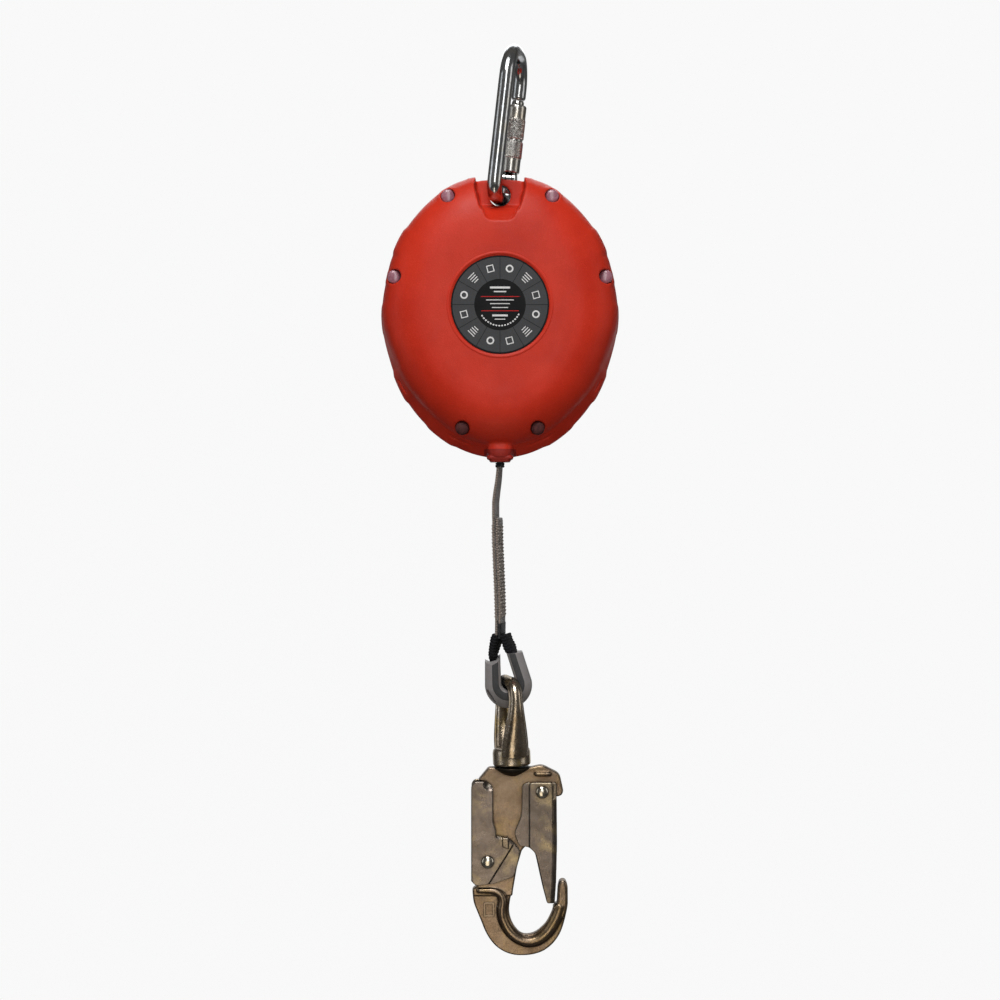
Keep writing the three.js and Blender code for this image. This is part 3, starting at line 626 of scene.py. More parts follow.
def web_material():
    """flat woven polyester: picks across, warp ribs along, tan selvedges, a tracer line"""
    rib_pitch, pick_pitch = 0.00125, 0.0016
    g = Graph("webbing_weave")
    y, z = g.axis(1), g.axis(2)
    across = g.op("SUBTRACT", y, float(DRUM[1]))
    rib = g.op("SINE", g.op("MULTIPLY", across, 2 * math.pi / rib_pitch))
    shift = g.op("MULTIPLY", g.op("SIGN", rib), math.pi / 2)
    pick = g.op("SINE", g.op("ADD", g.op("MULTIPLY", z, 2 * math.pi / pick_pitch), shift))
    height = g.op("ADD", g.op("MULTIPLY", g.op("ABSOLUTE", rib), 0.5), g.op("MULTIPLY", pick, 0.5))
    fibre = g.noise(scale=3200, detail=2, rough=0.6, stretch=(1, 1, 0.35))
    dirt = g.noise(scale=75, detail=4, rough=0.6)
    base = g.mix(g.span(height, -0.4, 0.9), (0.060, 0.056, 0.054), (0.42, 0.405, 0.40))
    base = g.tint(base, g.span(fibre, 0.42, 0.66), share=0.5, toward=(0.52, 0.50, 0.49))
    speck = g.noise(scale=1250, detail=2, rough=0.6)
    base = g.tint(base, g.span(speck, 0.50, 0.40), share=0.62, toward=(0.035, 0.032, 0.030))
    selvedge = g.span(g.op("ABSOLUTE", across), 0.0083, 0.0092)
    tan = g.mix(g.span(pick, -0.3, 0.6), (0.10, 0.062, 0.038), (0.27, 0.185, 0.13))
    base = g.tint(base, selvedge, share=0.60, toward=tan)
    tracer = g.op("MULTIPLY", g.span(g.op("ABSOLUTE", across), 0.0011, 0.0006),
                  g.span(pick, 0.0, 0.3))
    base = g.tint(base, tracer, share=0.85, toward=(0.03, 0.028, 0.027))
    base = g.tint(base, g.span(dirt, 0.45, 0.75), share=0.35, toward=(0.11, 0.085, 0.062))
    g.set(Base_Color=base, Roughness=0.82, Sheen_Weight=0.25, Sheen_Roughness=0.5)
    g.bump(height, strength=0.55, distance=0.0006)
    g.bump(fibre, strength=0.3, distance=0.0003)
    return g.material


def knit_material():
    g = Graph("knit_fibre")
    fibre = g.noise(scale=2600, detail=3, rough=0.65)
    blot = g.noise(scale=160, detail=3, rough=0.5)
    colour = g.mix(g.span(fibre, 0.35, 0.7), (0.003, 0.003, 0.004), (0.011, 0.0105, 0.013))
    colour = g.tint(colour, g.edges(0.50, 0.56), share=0.5, toward=(0.030, 0.029, 0.034))
    colour = g.tint(colour, g.span(blot, 0.5, 0.8), share=0.3, toward=(0.02, 0.019, 0.02))
    g.set(Base_Color=colour, Roughness=0.9, Specular_IOR_Level=0.12, Sheen_Weight=0.03,
          Sheen_Roughness=0.45)
    g.bump(fibre, strength=0.45, distance=0.0004)
    return g.material


def thread_material(name, dark, light):
    g = Graph(name)
    twist = g.noise(scale=2600, detail=2, rough=0.6, stretch=(1, 1.6, 0.5))
    colour = g.mix(g.span(twist, 0.35, 0.68), dark, light)
    gaps = g.span(g.noise(scale=520, detail=2, rough=0.6), 0.50, 0.58, to=(0, 0.85))
    g.set(Base_Color=g.mix(gaps, colour, scaled(dark, 0.22)), Roughness=0.7)
    g.bump(twist, strength=0.5, distance=0.0003)
    return g.material


def rose_cap(name, dark, light, gloss):
    """cap plastic; gloss 0..1 drives sheen, coat and smoothness together"""
    g = Graph(name)
    fine = g.noise(scale=650, detail=3, rough=0.5)
    swirl = g.noise(scale=180, detail=3, rough=0.6, distortion=1.5)
    colour = g.mix(g.span(swirl, 0.35, 0.7), dark, light)
    roughness = g.span(fine, 0.3, 0.7, to=(0.46 - 0.28 * gloss, 0.56 - 0.28 * gloss))
    g.set(Base_Color=colour, Roughness=roughness, Specular_IOR_Level=0.15 + 0.35 * gloss,
          Transmission_Weight=0.05, IOR=1.48, Coat_Weight=0.35 * gloss, Coat_Roughness=0.08)
    g.bump(fine, strength=0.12, distance=0.0003)
    return g.material


RED = moulded("red_moulded_nylon", (0.50, 0.0215, 0.0065), (0.60, 0.030, 0.0100), rough=0.44,
              relief=0.17)
# darker copy of the case red, painted shade for the outlet guide and the boss around it
RED_PAINTED_SHADE = moulded("red_guide_painted_shade", (0.22, 0.011, 0.007), (0.30, 0.017, 0.010), rough=0.5,
                   relief=0.18, scuff=0.15)
CAP = rose_cap("rose_cap_plastic", (0.27, 0.10, 0.135), (0.42, 0.20, 0.255), gloss=1.0)
CAP_PAINTED_SHADE = rose_cap("rose_cap_shaded", (0.035, 0.010, 0.010), (0.11, 0.028, 0.028), gloss=0.0)
CHROME = metal("polished_steel", (0.44, 0.46, 0.475), (0.62, 0.64, 0.655), rough=(0.12, 0.21),
               patch=90, grain=1300, relief=0.10, edge_wear_and_highlight=(0.82, 0.82, 0.82), edge_wear_and_highlight_share=0.3,
               tint=(0.58, 0.54, 0.47), pits=0.10)
KNURL = metal("knurled_steel", (0.42, 0.41, 0.39), (0.60, 0.585, 0.56), rough=(0.20, 0.30),
              patch=120, grain=1500, relief=0.05, edge_wear_and_highlight=(0.9, 0.89, 0.87), edge_wear_and_highlight_share=0.7,
              tint=(0.62, 0.55, 0.44), crease_shade_reach=0.0)
BRONZE = metal("zinc_yellow_forging", (0.162, 0.112, 0.073), (0.262, 0.196, 0.138),
               rough=(0.26, 0.40), patch=70, grain=1100, relief=0.16, edge_wear_and_highlight=(0.62, 0.58, 0.50),
               edge_wear_and_highlight_share=0.55, tint=(0.33, 0.235, 0.105), pits=0.28)
BRONZE_PLATE = metal("zinc_yellow_sheet", (0.108, 0.089, 0.074), (0.182, 0.153, 0.135),
                     rough=(0.24, 0.36), patch=85, grain=1200, relief=0.14,
                     edge_wear_and_highlight=(0.60, 0.56, 0.46), edge_wear_and_highlight_share=0.6, tint=(0.34, 0.27, 0.16), pits=0.12)
GOLD = metal("zinc_gold_forging", (0.31, 0.24, 0.165), (0.54, 0.47, 0.38), rough=(0.18, 0.30),
             patch=75, grain=1200, relief=0.15, edge_wear_and_highlight=(0.80, 0.78, 0.74), edge_wear_and_highlight_share=0.6,
             tint=(0.62, 0.43, 0.09), pits=0.2)
PAD = metal("zinc_yellow_pad", (0.150, 0.104, 0.068), (0.245, 0.184, 0.130), rough=(0.30, 0.42),
            patch=70, grain=1100, relief=0.12, edge_wear_and_highlight=(0.34, 0.28, 0.21), edge_wear_and_highlight_share=0.25, pits=0.1)
# near-black copy of the zinc finish, painted shade on the neck boss
NECK_PAINTED_SHADE = metal("zinc_boss_painted_shade", (0.028, 0.023, 0.019), (0.060, 0.050, 0.040), rough=(0.34, 0.48),
             patch=90, grain=1100, relief=0.16, edge_wear_and_highlight=(0.18, 0.16, 0.13), edge_wear_and_highlight_share=0.4, pits=0.2)
PIN_STEEL = metal("plated_pin", (0.34, 0.33, 0.32), (0.50, 0.49, 0.47), rough=(0.18, 0.30),
                  patch=150, grain=1500, relief=0.1)
RIVET = metal("rivet_brass_plate", (0.42, 0.38, 0.30), (0.60, 0.56, 0.47), rough=(0.12, 0.2),
              patch=200, grain=1500, edge_wear_and_highlight=(0.85, 0.83, 0.78), edge_wear_and_highlight_share=0.4,
              tint=(0.62, 0.50, 0.26))
MECH = metal("mechanism_steel", (0.38, 0.38, 0.39), (0.52, 0.52, 0.53), rough=(0.28, 0.42),
             patch=140, relief=0.12)
SPRING = metal("spring_steel", (0.16, 0.16, 0.18), (0.27, 0.27, 0.30), rough=(0.25, 0.4),
               patch=140, relief=0.1)
ALLOY = metal("frame_alloy", (0.48, 0.49, 0.50), (0.62, 0.63, 0.64), rough=(0.35, 0.5),
              patch=90, grain=1200, relief=0.14)
BRASS = metal("bush_brass", (0.50, 0.34, 0.13), (0.66, 0.48, 0.22), rough=(0.25, 0.4),
              patch=120, relief=0.1)
SCREW = metal("screw_zinc", (0.46, 0.46, 0.46), (0.62, 0.62, 0.62), rough=(0.2, 0.34),
              patch=200, relief=0.1)
LINING = moulded("friction_lining", (0.07, 0.055, 0.04), (0.12, 0.095, 0.07), rough=0.8,
                 grain=900, relief=0.5, scuff=0.1)
WEB = web_material()
KNIT = knit_material()
THREAD = thread_material("bar_tack_thread", (0.27, 0.215, 0.175), (0.60, 0.565, 0.53))
THREAD_GREY = thread_material("edge_thread", (0.16, 0.15, 0.145), (0.34, 0.32, 0.31))
CUFF = moulded("heat_shrink_cuff", (0.007, 0.007, 0.008), (0.016, 0.016, 0.018), rough=0.55,
               grain=700, relief=0.35, scuff=0.35)
POLY = moulded("grey_thimble", (0.215, 0.205, 0.205), (0.275, 0.265, 0.268), rough=0.42,
               grain=900, relief=0.12, scuff=0.35)
# darker copy of the thimble grey, painted shade for the flat faces
POLY_PAINTED_SHADE = moulded("grey_thimble_painted_shade", (0.028, 0.028, 0.030), (0.055, 0.055, 0.058), rough=0.5,
                    grain=900, relief=0.2, scuff=0.3)
INK_GREY = label_ink("label_grey", (0.058, 0.060, 0.064), rough=0.45)
INK_BLACK = label_ink("label_black", (0.005, 0.005, 0.006), rough=0.45)
INK_LINE = label_ink("label_line", (0.012, 0.012, 0.013))
INK_WHITE = label_ink("label_white", (0.74, 0.74, 0.75))
INK_RED = label_ink("label_red", (0.60, 0.02, 0.02))

# ------------------------------------------------------------------------------ case
# rim radius about (0, CASE_Z) at every 10 degrees from straight up, the same on both sides
OUTLINE = np.array([94.6, 94.6, 93.7, 90.6, 87.6, 85.0, 82.2, 79.7, 78.7, 78.4, 78.1, 78.3, 79.9,
                    82.3, 84.8, 87.4, 90.1, 92.1, 92.9])
CASE_Z = -5.9
# raised pads on the rim: (start deg, end deg, height)
RIM_PADS = ((46.5, 59.0, 0.9), (61, 70, 0.25), (84, 98, 0.45), (117.5, 132.0, 0.9), (146, 160, 0.75))
ANGLES = np.linspace(0, 360, 288, endpoint=False)
SPLIT_Y = 0.15  # each shell stops this far from the middle plane
EYE_BUSH_Z = 74

# Shell profiles: (share of the rim radius, depth) above and below the middle, then skirt rows
# of (share above, depth above, share below, depth below)
FRONT_OUTER = (
    [[0, 30], [0.2, 30], [0.4, 30], [0.52, 30], [0.60, 29.9], [0.70, 29.1], [0.79, 26.9],
     [0.87, 23.2], [0.935, 18.0], [0.975, 11.5]],
    [[0, 30], [0.2, 30], [0.38, 30], [0.50, 30], [0.58, 29.9], [0.675, 28.9], [0.76, 26.1],
     [0.835, 21.4], [0.885, 16.2], [0.912, 10.2]],
    [(0.988, 6.5, 0.945, 6.6), (0.998, 2.0, 0.985, 2.2), (1.0, SPLIT_Y, 1.0, SPLIT_Y)])
FRONT_INNER = (
    [[0, 27], [0.3, 27], [0.60, 27], [0.70, 26.2], [0.83, 21.2], [0.905, 15.2], [0.955, 5.2]],
    [[0, 27], [0.3, 27], [0.58, 27], [0.66, 26.0], [0.75, 22.6], [0.825, 17.0], [0.885, 5.2]],
    [(0.96, 1.0, 0.90, 1.0), (0.96, -1.5, 0.90, -1.5)])
REAR_CURVE = [[0, 30], [0.2, 30], [0.4, 30], [0.56, 30], [0.66, 29.9], [0.74, 29.4], [0.82, 27.9],
              [0.90, 24.6], [0.955, 19.5], [0.985, 14.5]]
REAR_OUTER = (REAR_CURVE, REAR_CURVE, [(0.997, 8.0, 0.997, 8.0), (1.0, 3.0, 1.0, 3.0),
                                       (1.0, SPLIT_Y, 1.0, SPLIT_Y)])
REAR_HOLLOW = [[0, 27], [0.3, 27], [0.62, 27], [0.70, 26.5], [0.79, 25.0], [0.90, 19.8],
               [0.955, 7.6]]
REAR_INNER = (REAR_HOLLOW, REAR_HOLLOW, [(0.96, 1.0, 0.96, 1.0), (0.96, -1.5, 0.96, -1.5)])

# eye recess: (depth, half width at the top, half width at the floor, floor z, corner radius)
POCKET = ((5.9, 15.7, 13.6, 67.2, 1.6), (9.0, 16.0, 13.5, 66.6, 2.2), (14.0, 16.5, 13.1, 64.6, 3.0),
          (20.0, 17.2, 12.3, 61.0, 4.2), (26.0, 18.1, 11.1, 56.8, 5.2),
          (31.0, 19.3, 9.8, 53.6, 6.0), (38.0, 21.0, 8.5, 48.5, 6.5))
# arched slot through the top, as (x, z)
SLOT_ARCH = [(-16.8, 95), (-16.8, 83.2), (-12, 84.0), (-6, 84.5), (0, 84.7), (6, 84.5), (12, 84.0),
             (16.8, 83.2), (16.8, 95)]
# boss around the webbing outlet: (z, half x, half y)
NOZZLE = ((-84.0, 8.9, 14.5), (-88.0, 9.2, 15.3), (-91.5, 9.2, 16.0), (-94.5, 8.9, 16.2),
          (-96.8, 8.5, 16.0), (-98.0, 8.0, 15.6), (-98.6, 7.4, 14.9))
# case screws: (x, z, depth of the head)
SCREWS = [(-34, 72, 11.3), (34, 72, 11.3), (-69, 19.5, 11.3), (69, 19.5, 11.3),
          (-24.6, -79.3, 15.3), (24.6, -79.3, 15.3)]


def from_top(deg):
    return np.abs((np.asarray(deg, float) + 180) % 360 - 180)


def outline_radius(deg, pads=False):
    """rim radius at an angle from straight up, either way round"""
    t = from_top(deg)
    knots = np.r_[OUTLINE[1:2], OUTLINE, OUTLINE[-2:-1]]
    u = t / 10 + 1
    i = np.clip(np.floor(u).astype(int), 1, len(knots) - 3)
    radius = spline(knots[i - 1], knots[i], knots[i + 1], knots[i + 2], u - i)
    if pads:
        for lo, hi, height in RIM_PADS:
            rise = smoothstep(lo - 1.2, lo + 1.2, t) - smoothstep(hi - 1.2, hi + 1.2, t)
            radius = radius + height * rise
        radius = radius - 0.45
    return radius


def dome(profile, side, pads=False, name="tmp"):
    """closed half shell; side is -1 for the front and 1 for the rear"""
    upper, lower, skirt = profile
    low = smoothstep(88, 150, from_top(ANGLES))
    base, rim = outline_radius(ANGLES), outline_radius(ANGLES, pads)
    sin, cos = np.sin(np.radians(ANGLES)), np.cos(np.radians(ANGLES))

    def blend(above, below):
        return above * (1 - low) + below * low

    def ring(radius, y):
        return np.stack(np.broadcast_arrays(radius * sin, side * y, CASE_Z + radius * cos), 1)

    rings = []
    for above, below in zip(catmull(upper, 5), catmull(lower, 5)):
        share, y = blend(above[0], below[0]), blend(above[1], below[1])
        to_rim = smoothstep(0.86, 0.99, share)
        radius = share * (base * (1 - to_rim) + rim * to_rim) if rings else 0.02
        rings.append(ring(radius, y))
    for share_above, y_above, share_below, y_below in skirt:
        y = blend(y_above, y_below)
        rings.append(ring(blend(share_above, share_below) * rim, y))
    rings.append(ring(0.02, y[0]))
    return solid(*loft(rings), name=name, weld=0.03)


def pocket(side):
    """eye recess: sloping floor and side walls that close in towards it"""
    rings = []
    for y, top, floor, floor_z, corner in POCKET:
        left = [(-top, 101.0), (-top * 0.99, 78.0), (-(floor + (top - floor) * 0.28), floor_z + 7.0)]
        left += arc(-floor + corner, floor_z + corner, corner, 180, 270, 6)
        right = [(-x, z) for x, z in left[::-1]]
        rings.append([(x, side * y, z) for x, z in right[-1:] + left + right[:-1]])
    return solid(*loft(rings))


def nozzle(side):
    """half of the rounded boss around the webbing outlet"""
    rings = [[(x, y, z) for x, y in superellipse(half_x, half_y, 3.4, 72)]
             for z, half_x, half_y in NOZZLE]
    boss = solid(*loft(rings))
    cut(boss, [solid(*box(-40, 40, side * SPLIT_Y, side * 40, -120, -60))], "INTERSECT")
    return boss


def crescent(start, end, share0, share1, depth, side):
    """shallow curved line pressed into the front skirt, from start to end degrees"""
    steps = 26
    around = full_turn(14)
    rings = []
    for i in range(steps + 1):
        u = i / steps
        t = start + (end - start) * u
        radius = outline_radius(t) * (share0 + (share1 - share0) * u)
        out = np.array([math.sin(rad(t)), 0, math.cos(rad(t))])
        center = np.array([radius * out[0], -depth, CASE_Z + radius * out[2]])
        size = max(0.05, 1.25 * math.sin(math.pi * u) ** 0.6)
        ring = (center + size * 0.75 * np.cos(around)[:, None] * out
                + size * 1.25 * np.sin(around)[:, None] * np.array([0, 1.0, 0]))
        rings.append(ring * np.array([side, 1, 1]))
    return solid(*loft(rings))


def hollow_shell(name, side, outer, inner):
    """shell with its hollow, the eye recess with its walls, and the seat of the eye bush"""
    shell = dome(outer, side, pads=True, name=name)
    walls = solid(*box(-21.5, 21.5, side * 27.5, side * SPLIT_Y, 50, 86))
    cut(walls, [dome(outer, side)], "INTERSECT")
    cut(shell, [dome(inner, side)])
    cut(shell, [walls], "UNION")
    cut(shell, [solid(*box(-60, 60, -40, 40, 86.5, 130)), pocket(side),
                solid(*prism(SLOT_ARCH, -7.5, 7.5))])
    cut(shell, [solid(*box(-11.3, 11.3, side * 3.15, -side, 60, 95)),
                rod(0, EYE_BUSH_Z, 7.05, side * 12, -side * 2)])
    return shell


def add_outlet(shell, side):
    cut(shell, [nozzle(side)], "UNION")
    cut(shell, [solid(*box(-6.4, 6.4, side * 12.4, -side * 2, -115, -78))])


def finish_shell(shell, voxel, node):
    skin(shell, voxel, 7, [RED, RED_PAINTED_SHADE])
    # the outlet boss takes the guide's darker red, painted shade under the case
    paint(shell, lambda centre, normal: (centre[:, 2] < -92.8) & (np.abs(centre[:, 0]) < 10.5))
    place(shell, "case", "red_plastic", node)


def front_shell():
    shell = hollow_shell("front_shell_skin", -1, FRONT_OUTER, FRONT_INNER)
    for x, z, head in SCREWS:
        boss = rod(x, z, 7.0, -(head + 6), -0.3)
        cut(boss, [dome(FRONT_OUTER, -1)], "INTERSECT")
        cut(shell, [boss], "UNION")
        cut(shell, [rod(x, z, 4.75, -45, -(head - 0.3)), rod(x, z, 2.2, -45, 1)])
    cut(shell, [rod(0, 0.0, 32.0, -45, -29.1, 96)])  # label recess
    add_outlet(shell, -1)
    for side in (1, -1):
        cut(shell, [crescent(119.5, 131.5, 0.972, 0.960, 5.2, side),
                    crescent(154.5, 169.5, 0.948, 0.940, 6.6, side)])
    finish_shell(shell, 0.62, "front_shell")


def rear_shell():
    shell = hollow_shell("rear_shell_skin", 1, REAR_OUTER, REAR_INNER)
    add_outlet(shell, 1)
    # a shallow round line on the plain back
    cut(shell, [solid(*sweep(ring_path(40, 30.35, -6), (0, 1, 0), circle(0.9, 12), wrap=True))])
    finish_shell(shell, 0.68, "rear_shell")


front_shell()
rear_shell()

# eye bush: (radius, y) section turned about the hole; drawn in the black cuff plastic as painted
# shade inside the hole
BUSH = [(6.95, -2.8), (7.2, -3.05), (8.2, -3.05), (8.35, -2.8), (8.35, 2.8), (8.2, 3.05),
        (7.2, 3.05), (6.95, 2.8)]
rings = [[(radius * math.cos(t), y, EYE_BUSH_Z + radius * math.sin(t)) for radius, y in BUSH]
         for t in full_turn(72)]
bush = make("eye_bush_ring", *loft(rings, wrap=True), CUFF, 50)
place(bush, "case", "bush_brass", "eye_bush")

# screw caps, low domes: (radius, height towards the front)
CAP_DOME = [(0, 0), (4.2, 0), (4.4, 0.4), (4.42, 1.0), (4.38, 1.9), (4.2, 2.4), (3.7, 2.8),
            (2.8, 3.05), (1.6, 3.2), (0, 3.25)]
for k, (x, z, head) in enumerate(SCREWS, 1):
    base_y = -(head + 3.0)
    profile = [(radius, base_y - height) for radius, height in CAP_DOME]
    # the two lower caps take the darker copy of the cap plastic as painted shade
    cap = make(f"screw_cap_skin_{k}", *lathe(profile, 48, (x, 0, z), "Y"),
               CAP if k < 5 else CAP_PAINTED_SHADE, 50, weld=0.001)
    place(cap, "case", "cap_plastic", f"screw_cap_{k}")

# webbing outlet guide, down the outside and back up the slot:
# (half x, half y, corner radius, z)
GUIDE = [(10.4, 13.4, 2.5, -85.5), (10.4, 13.4, 2.5, -88.0), (7.1, 14.6, 2.6, -88.6),
         (7.1, 14.6, 2.6, -96.5), (8.9, 15.2, 3.0, -97.6), (8.6, 15.2, 3.0, -98.9),
         (7.3, 14.6, 2.6, -99.6), (6.9, 14.5, 2.5, -100.4), (6.3, 14.1, 2.2, -101.0),
         (4.2, 12.6, 1.6, -101.0), (3.3, 12.0, 1.3, -100.4), (2.8, 11.6, 1.1, -99.2),
         (2.7, 11.5, 1.1, -96.0), (2.7, 11.5, 1.1, -88.0), (3.4, 12.0, 1.2, -85.5)]


def oblong_ring(half_x, half_y, radius, z):
    ring = []
    for sx, sy, start in ((1, 1, 0), (-1, 1, 90), (-1, -1, 180), (1, -1, 270)):
        corner = arc(sx * (half_x - radius), sy * (half_y - radius), radius, start, start + 90, 10)
        ring += [(x, y, z) for x, y in corner]
    return ring


# the guide is the case's red plastic, drawn in the darker copy as painted shade under the case
guide = make("webbing_guide_skin", *loft([oblong_ring(*row) for row in GUIDE], wrap=True),
             RED_PAINTED_SHADE, 45)
place(guide, "case", "red_plastic", "webbing_outlet_guide")

# ----------------------------------------------------------------------------- label
FACE_Y = -30.10
LINE_TOP, WHITE_TOP, MARK_TOP = FACE_Y - 0.09, FACE_Y - 0.08, -30.26
MARK_BASE = FACE_Y - 0.04
RING_IN, RING_OUT = 16.6, 30.7  # grey ring of twelve sectors
MARK_RADIUS = 24.0
BLACK, GREY, LINE, WHITE, SCARLET = range(5)  # material slots of the print


def flat_ring(r0, r1, y0, y1, n, cx=0.0, cz=0.0):
    rings = []
    for i in range(n):
        s, c = math.sin(rad(360 * i / n)), math.cos(rad(360 * i / n))
        rings.append([(cx + r * s, y, cz + r * c)
                      for r, y in ((r0, y0), (r1, y0), (r1, y1), (r0, y1))])
    return loft(rings, wrap=True)


def bar(x0, z0, x1, z1, width, top, base=FACE_Y):
    along = np.array([x1 - x0, z1 - z0], float)
    along /= np.linalg.norm(along)
    px, pz = np.array([-along[1], along[0]]) * width / 2
    outline = [(x0 + px, z0 + pz), (x0 - px, z0 - pz), (x1 - px, z1 - pz), (x1 + px, z1 + pz)]
    return prism(outline, base, top)


def sector_mark(kind, deg):
    """one plain shape turned with its sector: 0 a ring, 1 four bars, 2 an open square"""
    s, c = math.sin(rad(deg)), math.cos(rad(deg))
    cx, cz = MARK_RADIUS * s, MARK_RADIUS * c
    if kind == 0:
        return [flat_ring(1.5, 2.5, MARK_BASE, MARK_TOP, 40, cx, cz)]
    if kind == 1:  # (start, end) of each bar, as (across, outward)
        ends = [(-h, w, h, w) for w, h in ((2.4, 2.8), (0.8, 2.4), (-0.8, 2.4), (-2.4, 1.8))]
    else:
        ends = []
        for q in (-1, 1):
            ends += [(-2.3, 2.0 * q, 2.3, 2.0 * q), (2.0 * q, -1.7, 2.0 * q, 1.7)]
    return [bar(cx + u0 * c + w0 * s, cz - u0 * s + w0 * c, cx + u1 * c + w1 * s,
                cz - u1 * s + w1 * c, 0.6, MARK_TOP, MARK_BASE) for u0, w0, u1, w1 in ends]


def label():
    prints = [[] for _ in range(5)]
    film = [(0, -29.4), (31.5, -29.4), (31.7, -29.6), (31.7, -29.95), (31.55, FACE_Y), (0, FACE_Y)]
    prints[BLACK].append(lathe(film, 160, axis="Y"))
    prints[GREY].append(flat_ring(RING_IN, RING_OUT, FACE_Y + 0.01, FACE_Y - 0.05, 180))
    for deg in range(0, 360, 30):
        s, c = math.sin(rad(deg)), math.cos(rad(deg))
        prints[LINE].append(
            bar(RING_IN * s, RING_IN * c, RING_OUT * s, RING_OUT * c, 0.34, LINE_TOP))
    for half, z in ((12.4, 5.2), (12.0, -4.0)):
        prints[SCARLET].append(bar(-half, z, half, z, 0.42, LINE_TOP))
    # white bars in the middle: (z, half length, width)
    for z, half, width in ((3.0, 9.0, 0.55), (0.6, 6.4, 0.55), (-1.9, 5.2, 0.55),
                           (11.0, 6.5, 1.3), (8.4, 4.0, 0.8), (-7.0, 5.0, 1.2), (-9.4, 3.4, 0.6)):
        prints[WHITE].append(bar(-half, z, half, z, width, WHITE_TOP))
    # dashes around the lower half
    radius, half = 13.6, 0.55
    for deg in range(118, 246, 8):
        s, c = math.sin(rad(deg)), math.cos(rad(deg))
        prints[WHITE].append(bar(radius * s - half * c, radius * c + half * s,
                                 radius * s + half * c, radius * c - half * s, 0.9, WHITE_TOP))
    for i in range(12):
        prints[WHITE] += sector_mark(i % 3, 15 + 30 * i)
    face_mats = [ink for ink, parts in enumerate(prints) for _, faces in parts for _ in faces]
    ob = make("label_print", *merge(sum(prints, [])),
              [INK_BLACK, INK_GREY, INK_LINE, INK_WHITE, INK_RED], 30, face_mats)
    place(ob, "case", "label_film", "label_plate")


label()

# raised bead around the label recess
bead = make("label_bead", *sweep(ring_path(33.6, -29.85, 0), (0, 1, 0),
                                 superellipse(1.0, 0.5, 2, 16), wrap=True), RED, 180)
place(bead, "case", "red_plastic")

# ------------------------------------ anchor connector, drawn in the Y-Z plane of CONNECTOR
BAR_RADIUS = 4.8
GATE_Y = 23  # gate axis, and the straight side of the frame
HINGE = (0, GATE_Y, 17.3)
GATE_UP = 7.8  # height of the gate parts above their own drawing

bar_line = [(GATE_Y, 70.7), (GATE_Y, 76.8)] + arc(3, 76.8, 20, 0, 90, 26)[1:]
bar_line += arc(-3, 76.8, 20, 90, 180, 26) + [(-23, 42)]
bar_line += arc(-14, 9, 9, 180, 270, 14) + arc(16, 7, 7, 270, 360, 12) + [(GATE_Y, 16.0)]
bar_line = resample(bar_line, 0.8)


def bar_section(i, u):
    """round bar, rounded over at both ends"""
    radius = BAR_RADIUS
    for end, drop in ((0, 0.30), (-1, 0.35)):
        dist = np.linalg.norm(bar_line[i] - bar_line[end])
        if dist < 1.6:
            radius = BAR_RADIUS - (1.6 - dist) ** 2 * drop
    return circle(max(radius, 3.6), 40)


def hinge_disc(half, face_radius, radius, rim_half, n):
    """chamfered disc across the hinge"""
    profile = [(0, -half), (face_radius, -half), (radius, -rim_half), (radius, rim_half),
               (face_radius, half), (0, half)]
    return lathe(profile, n, HINGE, "X")


connector = solid(*sweep([(0.0, y, z) for y, z in bar_line], (1, 0, 0), bar_section),
                  frame=CONNECTOR)
cut(connector, [solid(*hinge_disc(1.98, 4.1, 4.4, 1.7, 40), frame=CONNECTOR)], "UNION")
cut(connector, [solid(*box(-6, 6, -7, 7, 90.8, 92.42), frame=CONNECTOR)])  # flat under the top
connector.name = "anchor_connector_skin"
set_mats(connector, CHROME)
shade(connector, 30)
place(connector, "anchor", "polished_steel", "anchor_connector_frame")

# gate: bar with a fork at the hinge and a necked head, as (radius, height)
GATE_BAR = [(0.0, 9.6), (1.8, 9.7), (3.4, 10.2), (4.4, 11.2), (4.8, 12.6), (4.8, 58.6),
            (4.5, 59.2), (4.1, 59.5), (4.1, 61.5), (3.7, 62.1), (0.0, 62.3)]
gate = solid(*lathe([(radius, z + GATE_UP) for radius, z in GATE_BAR], 48, (0, GATE_Y, 0)),
             frame=CONNECTOR)
cut(gate, [solid(*hinge_disc(4.6, 3.9, 4.4, 4.2, 36), frame=CONNECTOR)], "UNION")
cut(gate, [solid(*box(-2.32, 2.32, 14, 32, 2, 22.4), frame=CONNECTOR)])
gate.name = "anchor_gate_skin"
set_mats(gate, CHROME)
shade(gate, 35)
place(gate, "gate_arm", "polished_steel", "anchor_gate")

# locking sleeve with two knurled bands: (start, end, ridges, slope of the second groove set)
SLEEVE_LOW, SLEEVE_HIGH = 13.6, 58.9
KNURL_BANDS = ((36.2, 49.8, 13, -2.1), (23.2, 34.8, 14, 2.1))
sleeve_angles = full_turn(224)
sleeve_heights = np.unique(np.r_[
    np.linspace(SLEEVE_LOW, SLEEVE_HIGH, 24), np.linspace(23.4, 34.6, 50),
    np.linspace(36.4, 49.6, 58), [13.6, 13.9, 14.3, 35.0, 35.2, 35.8, 36.0, 58.2, 58.6, 58.9]])


